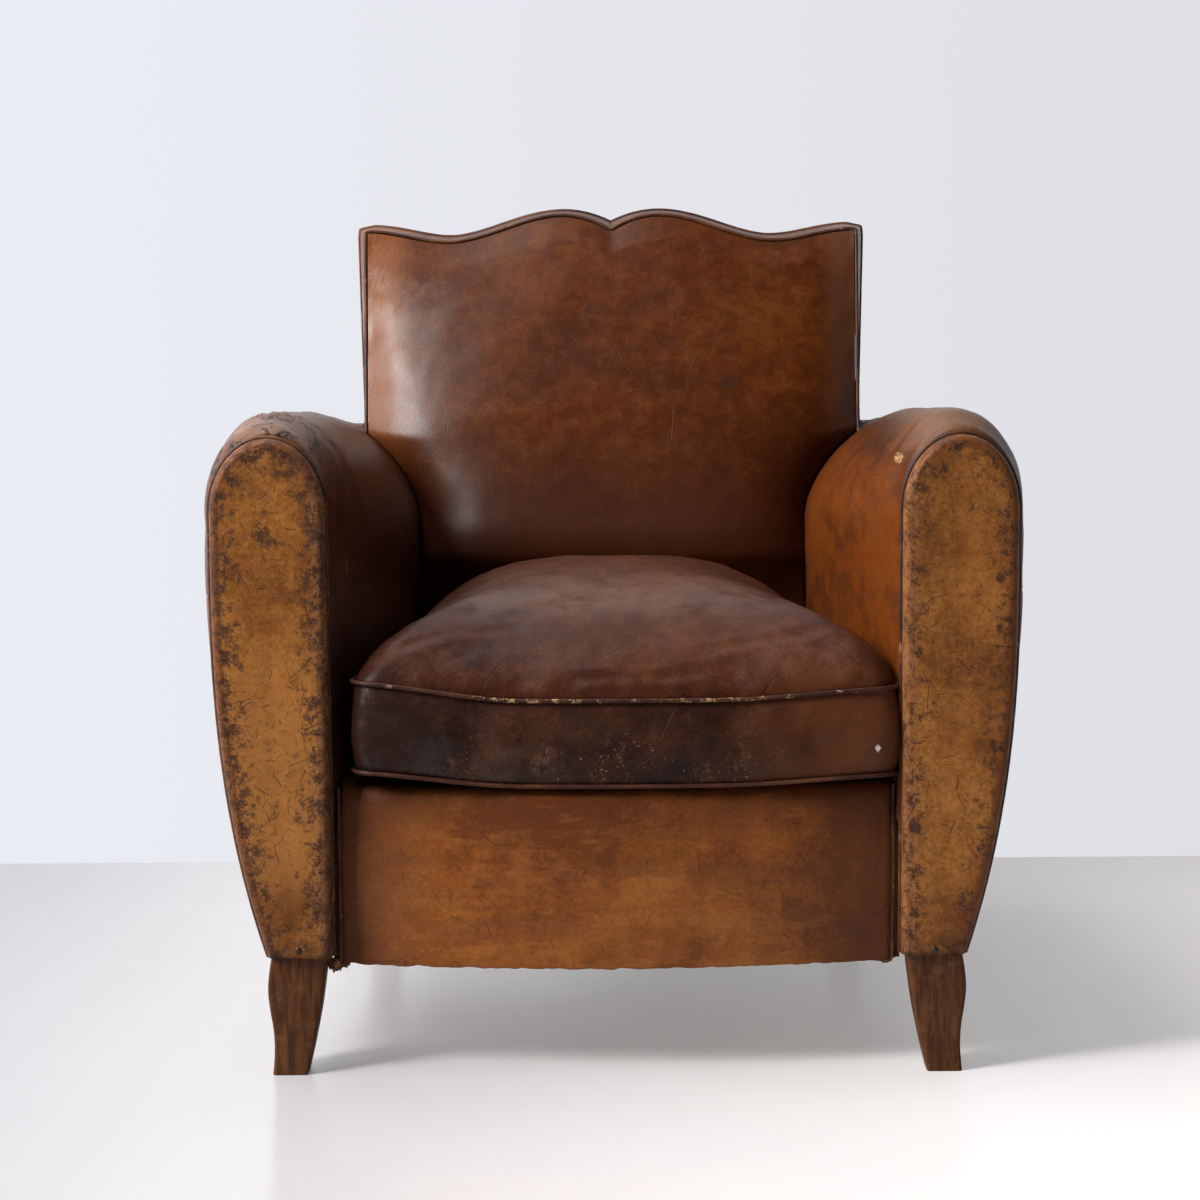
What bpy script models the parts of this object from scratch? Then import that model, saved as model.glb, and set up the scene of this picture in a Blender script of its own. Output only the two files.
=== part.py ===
"""Leather club chair with a moustache back, as one named object for each piece of frame, upholstery and cover.

The model stands on z = 0 and faces -Y. Left and right in the names are as seen from the front, so left is -X.
Depths are measured back from the front of the arm facings, and the empty "chair" carries the whole model so
that it is centred in depth.
"""

import math

import bmesh
import bpy
from mathutils import Vector

# Clearance between touching pieces
GAP = 0.0003

# Body
FACING_HALF = 0.386
FACING_INNER = 0.2785
FACING_FOOT_HALF = 0.337
FACING_TOP = 0.6205
FACING_ARCH_SPRING = 0.550
FACING_TAPER_TOP = 0.500
FACING_TAPER_POWER = 2.5
BODY_BOTTOM = 0.1165
REAR_OUT = 0.0163
REAR_DEPTH = 0.735

# Arm facings
FACING_THICK = 0.0150
FACING_ROUND = 0.0090
FACING_LEATHER = 0.0020
WELT_R = 0.0023

# Arms
LEATHER = 0.0020
STUMP_THICK = 0.0220
ARM_SWELL = 0.0140
ARM_CROWN_RISE = 0.0210
ARM_CROWN_DEPTH = 0.080
ARM_SLOPE = 0.0775
ARM_REAR_IN = 0.0632
ARM_REAR_SPRING = 0.490
REAR_CROWN_IN = 0.0008
ARM_END_SHORT = 0.095
ARM_COVER_SEAM = 0.470
ARM_COVER_FOOT = 0.245
ARM_STUFFING = 0.0200
ARM_RAIL_WIDE = 0.030
ARM_RAIL_HIGH = 0.024
ARM_RAIL_UNDER_CROWN = 0.062

# Seat frame
RAIL_THICK = 0.024
FRONT_RAIL_BOW = 0.033
FRONT_RAIL_DEPTH = 0.030
FRONT_RAIL_FOOT = 0.105
FRONT_RAIL_HIGH = 0.140
SEAT_TOP = 0.283
FRONT_COVER_LAP = 0.045
LAP_CLEAR = 0.0015
FRONT_RAIL_END = 0.004
SIDE_RAIL_HIGH = 0.080
SIDE_RAIL_IN = 0.027
SIDE_RAIL_REAR_OUT = 0.001
WEB_THICK = 0.0020
WEB_WIDE = 0.050
WEB_ACROSS = 3
WEB_ALONG = 5
WEB_UP = 3
SPRING_WIRE_R = 0.0019
SPRING_R = 0.036
SPRING_WAIST = 0.62
SPRING_TURNS = 3
HESSIAN_THICK = 0.0015
DECK_THICK = 0.0015
STUFFING_THICK = 0.0150
CLOTH_THICK = 0.0015
CLOTH_INSET = 0.012
CLOTH_LEG_CLEAR = 0.006
DECK_CLEAR = 0.004
DECK_FRONT_CLEAR = 0.003
DECK_BACK_CLEAR = 0.035
WEB_ABOVE_FOOT = 0.010

# Legs
FRONT_LEG_DEPTH = 0.045
FRONT_LEG_SET = 0.004
REAR_LEG_IN = 0.021
REAR_LEG_WIDE = 0.036
REAR_LEG_DEPTH = 0.044
REAR_LEG_RAKE = 0.030
REAR_LEG_SET = 0.010
REAR_LEG_THIN = 0.006
LEG_ROUND = 0.0025
# Front leg from the facing down: share of its height left; inner and outer side as shares of the way from the
# facing's inner edge to its foot; front face forward and back face forward as shares of its depth.
FRONT_LEG_LEVELS = (
    (1.00, 0.000, 0.880, 0.00, 0.00),
    (0.90, 0.010, 0.911, 0.00, 0.02),
    (0.70, 0.051, 0.940, 0.02, 0.07),
    (0.54, 0.094, 0.901, 0.02, 0.11),
    (0.39, 0.145, 0.850, 0.04, 0.16),
    (0.19, 0.222, 0.832, 0.07, 0.20),
    (0.00, 0.308, 0.863, 0.09, 0.22),
)

# Back
BACK_TOP_HALF = 0.2767
BACK_SIDE_SPLAY = 0.0040
BACK_PEAK = 0.8117
BACK_DIP = 0.7826
BACK_CORNER = 0.7949
BACK_NOTCH = 0.0170
BACK_PEAK_X = 0.055
BACK_DIP_X = 0.185
BACK_THICK_SEAT = 0.235
BACK_LEAN = 0.005
BACK_SEAT_Z = 0.450
BACK_THICK_TOP = 0.085
BACK_FLARE = 0.009
BACK_COVER_FOOT = 0.290
BACK_BULGE = 0.045
BACK_POST_WIDE = 0.034
BACK_POST_DEEP = 0.040
POST_OUT = 0.0043
BACK_RAIL_HIGH = 0.070
BACK_LOWER_RAIL_Z = 0.330
BACK_TOP_RAIL_HIGH = 0.045
WEB_TACKED = 0.020
STUFFING_SIDE_CLEAR = 0.0033
END_COVER_CLEAR = 0.002
BACK_ARM_Z = 0.600
BORDER_FOOT_CLEAR = 0.0028
BACK_BULGE_FROM = 0.360
BACK_SIDE_CLEAR = 0.0030
BACK_SIDE_DROP = 0.0080

# Cushion
CUSHION_SIDE_CLEAR = 0.0020
CUSHION_FRONT = -0.004
CUSHION_BOW = 0.024
CUSHION_BACK_CLEAR = 0.026
CUSHION_CORNER = 0.035
CUSHION_WALL = 0.087
CUSHION_CROWN = 0.104
CUSHION_CROWN_DEPTH = 0.260
CUSHION_SWELL = 0.006

# Lines that several pieces share
BACK_SEAT_DEPTH = REAR_DEPTH - BACK_THICK_SEAT
BACK_TOP_DEPTH = REAR_DEPTH + BACK_LEAN - BACK_THICK_TOP
BACK_ARM_HALF = BACK_TOP_HALF - BACK_SIDE_SPLAY
POST_OUTER = BACK_ARM_HALF + POST_OUT
REAR_HALF = BACK_TOP_HALF + REAR_OUT
ARM_REAR_INNER = BACK_TOP_HALF - ARM_REAR_IN
REAR_LEG_X = REAR_HALF - REAR_LEG_IN
ARM_END_DEPTH = REAR_DEPTH - ARM_END_SHORT
CUSHION_BACK = BACK_SEAT_DEPTH - CUSHION_BACK_CLEAR
LEG_TOP = BODY_BOTTOM - GAP

COLOURS = {
    "facing": ((0.36, 0.17, 0.06, 1), 0.55),
    "hide": ((0.17, 0.06, 0.025, 1), 0.42),
    "dark_hide": ((0.09, 0.035, 0.02, 1), 0.45),
    "rail_hide": ((0.22, 0.08, 0.03, 1), 0.45),
    "piping": ((0.07, 0.028, 0.016, 1), 0.5),
    "leg_wood": ((0.13, 0.055, 0.028, 1), 0.45),
    "beech": ((0.45, 0.31, 0.17, 1), 0.7),
    "canvas": ((0.42, 0.34, 0.22, 1), 0.95),
    "horsehair": ((0.10, 0.08, 0.06, 1), 0.95),
    "steel": ((0.35, 0.33, 0.31, 1), 0.45),
}


def clear_scene():
    for thing in list(bpy.data.objects):
        bpy.data.objects.remove(thing, do_unlink=True)


def finish_material(name):
    """One Principled material for each finish."""
    found = bpy.data.materials.get(name)
    if found:
        return found
    material = bpy.data.materials.new(name)
    material.use_nodes = True
    colour, roughness = COLOURS[name]
    shader = material.node_tree.nodes["Principled BSDF"]
    shader.inputs["Base Color"].default_value = colour
    shader.inputs["Roughness"].default_value = roughness
    shader.inputs["Metallic"].default_value = 1.0 if name == "steel" else 0.0
    return material


def place(name, data, finish, at=(0, 0, 0)):
    """Puts mesh or curve data in the scene, carried by the chair's empty."""
    thing = bpy.data.objects.new(name, data)
    bpy.context.scene.collection.objects.link(thing)
    data.materials.append(finish_material(finish))
    thing.location = at
    thing.parent = bpy.data.objects["chair"]
    return thing


def mesh_from(name, bm, side=1):
    """A mesh from bm, mirrored in X where side is -1, with its faces turned outwards."""
    if side < 0:
        bmesh.ops.scale(bm, vec=(-1, 1, 1), verts=bm.verts)
        bmesh.ops.reverse_faces(bm, faces=bm.faces)
    mesh = bpy.data.meshes.new(name)
    bm.to_mesh(mesh)
    bm.free()
    mesh.shade_smooth()
    mesh.set_sharp_from_angle(angle=math.radians(40))
    return mesh


def grid(rows, closed=False):
    """An open surface through rows of points. With closed, each row joins its own start."""
    bm = bmesh.new()
    lines = [[bm.verts.new(point) for point in row] for row in rows]
    for one, two in zip(lines, lines[1:]):
        count = len(one)
        for i in range(count if closed else count - 1):
            j = (i + 1) % count
            bm.faces.new((one[i], one[j], two[j], two[i]))
    return bm, lines


def loft(rows):
    """A closed solid through rings of points, with a flat cap at each end."""
    bm, lines = grid(rows, closed=True)
    bm.faces.new(reversed(lines[0]))
    bm.faces.new(lines[-1])
    bmesh.ops.recalc_face_normals(bm, faces=bm.faces)
    return bm


def layer(name, bm, finish, thick, under=0.0, side=1):
    """A sheet of the given thickness that follows a surface, under it by the given depth."""
    thing = place(name, mesh_from(name, bm, side), finish)
    solid = thing.modifiers.new("thickness", "SOLIDIFY")
    solid.thickness = thick
    solid.offset = -1 - 2 * under / thick
    solid.use_rim = True
    return thing


def tube(name, points, radius, finish, cyclic=False, sides=1):
    """A round cord of leather or wire through the given points."""
    curve = bpy.data.curves.new(name, "CURVE")
    curve.dimensions = "3D"
    curve.bevel_depth = radius
    curve.bevel_resolution = sides
    curve.use_fill_caps = not cyclic
    line = curve.splines.new("POLY")
    line.points.add(len(points) - 1)
    for spot, point in zip(line.points, points):
        spot.co = (*point, 1)
    line.use_cyclic_u = cyclic
    return place(name, curve, finish)


def smooth(t):
    t = min(max(t, 0.0), 1.0)
    return t * t * (3 - 2 * t)


def mix(a, b, t):
    return a + (b - a) * t


def offset_outline(points, distance):
    """The (x, z) outline moved outwards by distance, mitred at each point. It runs clockwise from its start."""
    moved = []
    count = len(points)
    for i, here in enumerate(points):
        before = Vector(points[i - 1])
        after = Vector(points[(i + 1) % count])
        here = Vector(here)
        one = (here - before).normalized()
        two = (after - here).normalized()
        normal = Vector((-(one + two).y, (one + two).x)).normalized()
        reach = distance / max(normal.dot(Vector((-one.y, one.x))), 0.5)
        moved.append(tuple(here + normal * reach))
    return moved


def taper_x(z):
    """Half width of the facing's outer edge at a height."""
    share = max(FACING_TAPER_TOP - z, 0) / (FACING_TAPER_TOP - BODY_BOTTOM)
    return FACING_HALF - (FACING_HALF - FACING_FOOT_HALF) * share**FACING_TAPER_POWER


def facing_outline(arch=10, taper=6):
    """The facing of the right arm as (x, z) points, from its inner foot over the arch to its outer foot."""
    centre = (FACING_INNER + FACING_HALF) / 2
    half = FACING_HALF - centre
    rise = FACING_TOP - FACING_ARCH_SPRING
    points = [(FACING_INNER, BODY_BOTTOM)]
    for i in range(arch + 1):
        angle = math.pi * (1 - i / arch)
        points.append((centre + half * math.cos(angle), FACING_ARCH_SPRING + rise * math.sin(angle)))
    for i in range(taper + 1):
        z = mix(FACING_TAPER_TOP, BODY_BOTTOM, i / taper)
        points.append((taper_x(z), z))
    return points


def ring(outline, depth):
    return [(x, depth, z) for x, z in outline]


def facing_rings(inset):
    """Rings of the padded facing from its back edge, round its front border, to its front face."""
    outline = facing_outline()
    eased = 0.3 * FACING_ROUND
    rings = []
    for depth, inward in ((FACING_THICK, 0.0), (FACING_ROUND, 0.0), (eased, eased), (0.0, FACING_ROUND)):
        sunk = inset if depth < FACING_THICK else 0.0
        rings.append(ring(offset_outline(outline, -inward - inset), depth + sunk))
    return rings


def make_facings(word, side):
    """Leather wrapped over a shaped board, with piping round it."""
    bm, lines = grid(facing_rings(0.0), closed=True)
    bm.faces.new(lines[-1])
    bmesh.ops.recalc_face_normals(bm, faces=bm.faces)
    layer(f"arm_panel_{word}", bm, "facing", FACING_LEATHER, side=side)
    board = loft(facing_rings(FACING_LEATHER + GAP))
    place(f"arm_facing_board_{word}", mesh_from("board", board, side), "beech")
    path = offset_outline(facing_outline(), WELT_R + GAP)
    depth = FACING_THICK - WELT_R
    tube(f"arm_panel_welt_{word}", [(side * x, depth, z) for x, z in path], WELT_R, "piping")


def crown_z(depth):
    """Height of the arm's crown, which rises behind the facing and then falls away to the back."""
    rise = ARM_CROWN_RISE * smooth(0.35 + 0.65 * depth / ARM_CROWN_DEPTH)
    return FACING_TOP + rise - ARM_SLOPE * max(depth - ARM_CROWN_DEPTH, 0)


def inner_x(depth):
    """Half width between the arms at a depth."""
    share = min(max(depth, 0.0) / BACK_SEAT_DEPTH, 1.0)
    return FACING_INNER - (FACING_INNER - ARM_REAR_INNER) * (1 - (1 - share) ** 1.6)


def rear_share(depth):
    """How far the outer side has turned in towards the rear corner, from 0 to 1."""
    return min(max(depth - FACING_THICK, 0) / (REAR_DEPTH - FACING_THICK), 1.0) ** 2


def swell(depth, z):
    """How far the stuffed side stands out past the facing."""
    grown = smooth(0.25 + 0.75 * depth / ARM_CROWN_DEPTH)
    high = smooth((z - 0.25) / 0.22)
    return ARM_SWELL * grown * mix(0.15, 1.0, high)


def outer_x(depth, z):
    return mix(taper_x(z) + swell(depth, z), REAR_HALF, rear_share(depth))


def arm_shape(depth):
    """The arm's section: crown x, inner x, inner spring height, outer x, outer spring height, crown height."""
    x_in = inner_x(depth)
    back = min(depth / BACK_SEAT_DEPTH, 1.0)
    spring_in = mix(FACING_ARCH_SPRING, ARM_REAR_SPRING, back)
    spring_out = mix(FACING_ARCH_SPRING, ARM_REAR_SPRING + 0.03, back)
    crown_x = mix((FACING_INNER + FACING_HALF) / 2, REAR_HALF - REAR_CROWN_IN, rear_share(depth))
    return crown_x, x_in, spring_in, outer_x(depth, spring_out), spring_out, crown_z(depth)


def arm_section(depth, inner_steps=3, arch=6, outer_steps=2):
    """The arm's cover at a depth: points from its inner foot over the crown to the seam outside."""
    crown_x, x_in, spring_in, x_out, spring_out, top = arm_shape(depth)
    points = [(x_in, mix(ARM_COVER_FOOT, spring_in, i / inner_steps)) for i in range(inner_steps)]
    for i in range(arch + 1):
        angle = math.pi / 2 * i / arch
        x = crown_x - (crown_x - x_in) * math.cos(angle)
        points.append((x, spring_in + (top - spring_in) * math.sin(angle)))
    for i in range(1, arch + 1):
        angle = math.pi / 2 * (1 - i / arch)
        x = crown_x + (x_out - crown_x) * math.cos(angle)
        points.append((x, spring_out + (top - spring_out) * math.sin(angle)))
    for i in range(1, outer_steps + 1):
        z = mix(spring_out, ARM_COVER_SEAM, i / outer_steps)
        points.append((outer_x(depth, z), z))
    return [(x, depth, z) for x, z in points]


def arm_depths():
    """Stations along the arm: its front edge, the back of the stump, then evenly to its end."""
    stump_back = FACING_THICK + STUMP_THICK + 2 * GAP
    behind = [mix(stump_back, ARM_END_DEPTH, t) for t in (0, 0.06, 0.2, 0.4, 0.6, 0.8, 1.0)]
    return [FACING_THICK + GAP] + behind


def make_arm(word, side):
    """Leather over stuffing, on a rail between the front stump and the back post."""
    first = FACING_THICK + GAP
    behind_stump = first + STUMP_THICK + GAP
    bm, _ = grid([arm_section(depth) for depth in arm_depths()])
    layer(f"arm_cover_{word}", bm, "hide", LEATHER, side=side)
    bm, _ = grid([arm_section(depth) for depth in arm_depths()[1:]])
    layer(f"arm_stuffing_{word}", bm, "horsehair", ARM_STUFFING, LEATHER + 3 * GAP, side=side)
    stump = offset_outline(facing_outline(), -LEATHER - GAP)
    bm = loft([ring(stump, first), ring(stump, first + STUMP_THICK)])
    place(f"front_stump_{word}", mesh_from("stump", bm, side), "beech")
    ends = []
    front_x = (FACING_INNER + FACING_HALF) / 2
    rear_x = POST_OUTER - ARM_RAIL_WIDE / 2
    for depth, x in ((behind_stump, front_x), (post_front(ARM_REAR_SPRING) - GAP, rear_x)):
        top = crown_z(max(depth, ARM_CROWN_DEPTH)) - ARM_RAIL_UNDER_CROWN
        ends.append(box_ring(x - ARM_RAIL_WIDE / 2, x + ARM_RAIL_WIDE / 2, top - ARM_RAIL_HIGH, top, depth))
    place(f"arm_rail_{word}", mesh_from("arm_rail", loft(ends), side), "beech")
    stations = [mix(first, ARM_END_DEPTH, t) for t in (0, 0.04, 0.12, 0.28, 0.46, 0.64, 0.82, 1.0)]
    stations += [mix(ARM_END_DEPTH, arm_back_end(), t) for t in (0.5, 1.0)]
    rows = []
    for depth in stations:
        heights = [mix(ARM_COVER_SEAM - GAP, BODY_BOTTOM, i / 6) for i in range(7)]
        rows.append([(outer_x(depth, z), depth, z) for z in heights])
    bm, _ = grid(rows)
    layer(f"outside_arm_cover_{word}", bm, "hide", LEATHER, side=side)
    make_arm_end(word, side)


def arm_back_end():
    """Where the side leather stops, in front of the outside back."""
    return REAR_DEPTH - LEATHER - 2 * GAP


def make_arm_end(word, side):
    """The leather that closes the arm behind, round the foot of the back."""
    rows = []
    for t in (0.0, 0.35, 0.7, 1.0):
        depth = mix(ARM_END_DEPTH + GAP, arm_back_end(), t)
        beside = BACK_FLARE + END_COVER_CLEAR
        section = [point for point in arm_section(depth) if point[0] > edge_half(point[2]) + beside]
        x = edge_half(section[0][2]) + BACK_FLARE
        start = (x, depth, section[0][2])
        section = [start] + section
        rows.append([section[0]] + resample(section[1:], 8))
    bm, _ = grid(rows)
    layer(f"arm_end_cover_{word}", bm, "hide", LEATHER, side=side)


def resample(points, count):
    """The same line through count points spread evenly by length."""
    spots = [Vector(point) for point in points]
    lengths = [0.0]
    for one, two in zip(spots, spots[1:]):
        lengths.append(lengths[-1] + (two - one).length)
    found = []
    for k in range(count):
        wanted = lengths[-1] * k / (count - 1)
        i = max(n for n in range(len(spots) - 1) if lengths[n] <= wanted + 1e-9)
        share = (wanted - lengths[i]) / (lengths[i + 1] - lengths[i])
        found.append(tuple(spots[i].lerp(spots[i + 1], share)))
    return found


def box_ring(x0, x1, z0, z1, depth):
    return [(x0, depth, z0), (x1, depth, z0), (x1, depth, z1), (x0, depth, z1)]


def make_legs(word, side):
    """A sabre front leg that swells, waists and kicks out, and a rear leg that rakes back."""
    rings = []
    for left, inner, outer, kick, pull in FRONT_LEG_LEVELS:
        x0, x1 = (mix(FACING_INNER, FACING_FOOT_HALF, share) for share in (inner, outer))
        y0, y1 = FRONT_LEG_SET - FRONT_LEG_DEPTH * kick, FRONT_LEG_SET + FRONT_LEG_DEPTH * (1 - pull)
        rings.append([(x, y, LEG_TOP * left) for x, y in ((x0, y0), (x1, y0), (x1, y1), (x0, y1))])
    place(f"front_leg_{word}", leg_mesh(rings, side), "leg_wood")
    rings = []
    for i in range(5):
        fall = i / 4
        z = LEG_TOP * (1 - fall)
        half = REAR_LEG_WIDE / 2 * (1 - 0.15 * fall)
        rear = REAR_DEPTH - REAR_LEG_SET + REAR_LEG_RAKE * fall**1.6 - REAR_LEG_THIN * fall
        front = rear - REAR_LEG_DEPTH + 2 * REAR_LEG_THIN * fall
        rings.append([(REAR_LEG_X - half, front, z), (REAR_LEG_X + half, front, z),
                      (REAR_LEG_X + half, rear, z), (REAR_LEG_X - half, rear, z)])
    place(f"rear_leg_{word}", leg_mesh(rings, side), "leg_wood")


def leg_mesh(rings, side):
    bm = loft(rings)
    upright = [e for e in bm.edges if abs(e.verts[0].co.z - e.verts[1].co.z) > 0.005]
    bmesh.ops.bevel(bm, geom=upright, offset=LEG_ROUND, segments=1, affect="EDGES")
    return mesh_from("leg", bm, side)


def rail_front(x, depth=FRONT_RAIL_DEPTH):
    """Depth of the bowed front rail's face."""
    return depth - FRONT_RAIL_BOW * (1 - (x / FACING_INNER) ** 2)


def make_seat_frame():
    """Bowed front rail, side and back rails, with the front leather lapped over the top."""
    welt_x = FACING_INNER - 3 * (WELT_R + GAP) - 2 * GAP
    cover_half = welt_x - WELT_R - GAP
    columns = [cover_half * (2 * i / 12 - 1) for i in range(13)]
    profile = [(0.0, FRONT_RAIL_FOOT), (-0.003, mix(FRONT_RAIL_FOOT, SEAT_TOP, 0.3)),
               (-0.004, mix(FRONT_RAIL_FOOT, SEAT_TOP, 0.6)), (-0.001, SEAT_TOP - 0.014)]
    profile += [(0.004, SEAT_TOP - 0.005), (0.014, SEAT_TOP), (FRONT_COVER_LAP, SEAT_TOP)]
    rows = []
    for out, z in profile:
        half = min(cover_half, inner_x(FRONT_RAIL_DEPTH + out) - LAP_CLEAR)
        rows.append([(x * half / cover_half, rail_front(x) + out, z) for x in columns])
    bm, _ = grid(rows)
    layer("front_rail_cover", bm, "rail_hide", LEATHER)
    inner = LEATHER + 4 * GAP
    foot = BODY_BOTTOM + GAP
    top = foot + FRONT_RAIL_HIGH
    half = cover_half - FRONT_RAIL_END
    rows = []
    for z in (foot, top):
        front = [(x, rail_front(x) + inner, z) for x in [half * (2 * i / 10 - 1) for i in range(11)]]
        back = FRONT_RAIL_DEPTH + RAIL_THICK
        rows.append(front + [(half, back, z), (-half, back, z)])
    place("front_seat_rail", mesh_from("front_rail", loft(rows)), "beech")
    for word, side in (("left", -1), ("right", 1)):
        heights = [mix(FRONT_RAIL_FOOT + WELT_R, SEAT_TOP - WELT_R, i / 4) for i in range(5)]
        depth = rail_front(welt_x) - 0.001
        tube(f"rail_welt_{word}", [(side * welt_x, depth, z) for z in heights], WELT_R, "piping")
        start = FACING_THICK + STUMP_THICK + 2 * GAP
        ends = []
        rear = POST_OUTER + SIDE_RAIL_REAR_OUT
        for out, d in ((FACING_FOOT_HALF - SIDE_RAIL_IN, start), (rear, post_front(BODY_BOTTOM) - GAP)):
            ends.append(box_ring(out - RAIL_THICK, out, foot, foot + SIDE_RAIL_HIGH, d))
        place(f"side_seat_rail_{word}", mesh_from("side_rail", loft(ends), side), "beech")
    back = post_front(BODY_BOTTOM)
    half = POST_OUTER - BACK_POST_WIDE - GAP
    bm = loft([box_ring(-half, half, foot, foot + SIDE_RAIL_HIGH, d) for d in (back, back + RAIL_THICK)])
    place("back_seat_rail", mesh_from("back_rail", bm), "beech")
    rows = [[(x, depth, z) for x, depth in cloth_outline()] for z in (BODY_BOTTOM - CLOTH_THICK, BODY_BOTTOM)]
    place("bottom_cloth", mesh_from("bottom_cloth", loft(rows)), "canvas")


def cloth_outline():
    """The dust cloth under the seat and the arms, cut out round the four legs, as (x, depth)."""
    front = FRONT_LEG_SET + FRONT_LEG_DEPTH + CLOTH_LEG_CLEAR
    beside_front = FACING_INNER - CLOTH_LEG_CLEAR - CLOTH_INSET
    beside_rear = REAR_LEG_X - REAR_LEG_WIDE / 2 - CLOTH_LEG_CLEAR
    rear = REAR_DEPTH - REAR_LEG_SET - REAR_LEG_DEPTH - CLOTH_LEG_CLEAR
    right = [(beside_front * i / 5, rail_front(beside_front * i / 5) + CLOTH_INSET) for i in range(6)]
    right.append((beside_front, front))
    for i in range(7):
        depth = mix(front, rear, i / 6)
        right.append((outer_x(depth, BODY_BOTTOM) - CLOTH_INSET, depth))
    right += [(beside_rear, rear), (beside_rear, REAR_DEPTH - CLOTH_INSET)]
    return right + [(-x, depth) for x, depth in reversed(right[1:])]


def strap_grid(x_cuts, y_cuts, z):
    """A lattice of straps: cells between two straps are left open."""
    bm = bmesh.new()
    lines = [[bm.verts.new((x, y, z)) for x in x_cuts] for y in y_cuts]
    for j in range(len(y_cuts) - 1):
        for i in range(len(x_cuts) - 1):
            if i % 2 == 0 and j % 2 == 0:
                continue
            bm.faces.new((lines[j][i], lines[j][i + 1], lines[j + 1][i + 1], lines[j + 1][i]))
    bmesh.ops.delete(bm, geom=[v for v in bm.verts if not v.link_faces], context="VERTS")
    return bm


def strap_cuts(low, high, count):
    """Edges of count straps spread evenly between two rails."""
    open_width = (high - low - count * WEB_WIDE) / (count + 1)
    cuts = [low]
    for _ in range(count):
        cuts += [cuts[-1] + open_width, cuts[-1] + open_width + WEB_WIDE]
    return cuts + [high]


def make_seat():
    """Webbing, nine hourglass springs on its crossings, canvas, stuffing and the cloth that the cushion lies on."""
    low = FRONT_RAIL_DEPTH + RAIL_THICK + GAP
    high = post_front(BODY_BOTTOM) - GAP
    half = POST_OUTER + SIDE_RAIL_REAR_OUT - RAIL_THICK - 2 * GAP
    web_z = BODY_BOTTOM + WEB_ABOVE_FOOT
    x_cuts, y_cuts = strap_cuts(-half, half, WEB_ACROSS), strap_cuts(low, high, WEB_ALONG)
    bm = strap_grid(x_cuts, y_cuts, web_z)
    layer("seat_webbing", bm, "canvas", WEB_THICK)
    top = SEAT_TOP - DECK_THICK - STUFFING_THICK - HESSIAN_THICK - 3 * GAP
    for number in range(9):
        x, y = (cuts[2 * k + 1] + WEB_WIDE / 2 for cuts, k in ((x_cuts, number % 3), (y_cuts, number // 3)))
        make_spring(f"seat_spring_{number + 1}", x, y, web_z + GAP, top - GAP)
    z = top
    layers = (("seat_hessian", HESSIAN_THICK, "canvas"), ("seat_stuffing", STUFFING_THICK, "horsehair"),
              ("seat_deck_cloth", DECK_THICK, "canvas"))
    for name, thick, finish in layers:
        place(name, mesh_from(name, loft([deck_ring(z), deck_ring(z + thick)])), finish)
        z += thick + GAP


def deck_ring(z, steps=5):
    """The seat's plan between the arms, from the front leather's lap to the back."""
    front = FRONT_RAIL_DEPTH + FRONT_COVER_LAP + DECK_FRONT_CLEAR
    depths = [mix(front, BACK_SEAT_DEPTH - DECK_BACK_CLEAR, i / steps) for i in range(steps + 1)]
    right = [(inner_x(d) - DECK_CLEAR, d, z) for d in depths]
    return right + [(-x, d, z) for x, d, z in reversed(right)]


def make_spring(name, x, y, low, high):
    """An hourglass coil of steel wire, closed flat at both ends."""
    points = []
    count = SPRING_TURNS * 8
    for i in range(count + 1):
        t = i / count
        radius = SPRING_R * (SPRING_WAIST + (1 - SPRING_WAIST) * abs(2 * t - 1) ** 1.5)
        z = mix(low + SPRING_WIRE_R, high - SPRING_WIRE_R, smooth(t))
        angle = 2 * math.pi * SPRING_TURNS * t
        points.append((x + radius * math.cos(angle), y + radius * math.sin(angle), z))
    tube(name, points, SPRING_WIRE_R, "steel", sides=0)


def top_z(x):
    """The moustache: two peaks with a notch between them, a dip to each side and raised corners."""
    x = abs(x)
    if x < BACK_PEAK_X:
        return BACK_PEAK - BACK_NOTCH * (1 - x / BACK_PEAK_X) ** 2
    if x < BACK_DIP_X:
        return mix(BACK_PEAK, BACK_DIP, smooth((x - BACK_PEAK_X) / (BACK_DIP_X - BACK_PEAK_X)))
    return mix(BACK_DIP, BACK_CORNER, smooth((x - BACK_DIP_X) / (BACK_TOP_HALF - BACK_DIP_X)))


def back_depth(z):
    """Depth of the line of the front piping, which leans back with height."""
    return mix(BACK_SEAT_DEPTH, BACK_TOP_DEPTH, max(z - BACK_SEAT_Z, 0) / (BACK_CORNER - BACK_SEAT_Z))


def rear_depth(z):
    """Depth of the flat outside back."""
    top = BACK_TOP_DEPTH + BACK_THICK_TOP
    return mix(REAR_DEPTH, top, smooth((z - BODY_BOTTOM) / (BACK_CORNER - BODY_BOTTOM)))


def post_front(z):
    """Depth of the front face of the back posts."""
    return rear_depth(z) - LEATHER - 2 * GAP - BACK_POST_DEEP


def edge_half(z):
    """Half width of the back at its piping."""
    return mix(BACK_ARM_HALF, BACK_TOP_HALF, max(z - BACK_ARM_Z, 0) / (BACK_CORNER - BACK_ARM_Z))


def arm_top_at(x, depth):
    """Height of the arm's top at a half width and depth, on the side of the sitter."""
    crown_x, x_in, spring, _, _, top = arm_shape(depth)
    return spring + (top - spring) * math.sqrt(1 - ((crown_x - x) / (crown_x - x_in)) ** 2)


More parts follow.
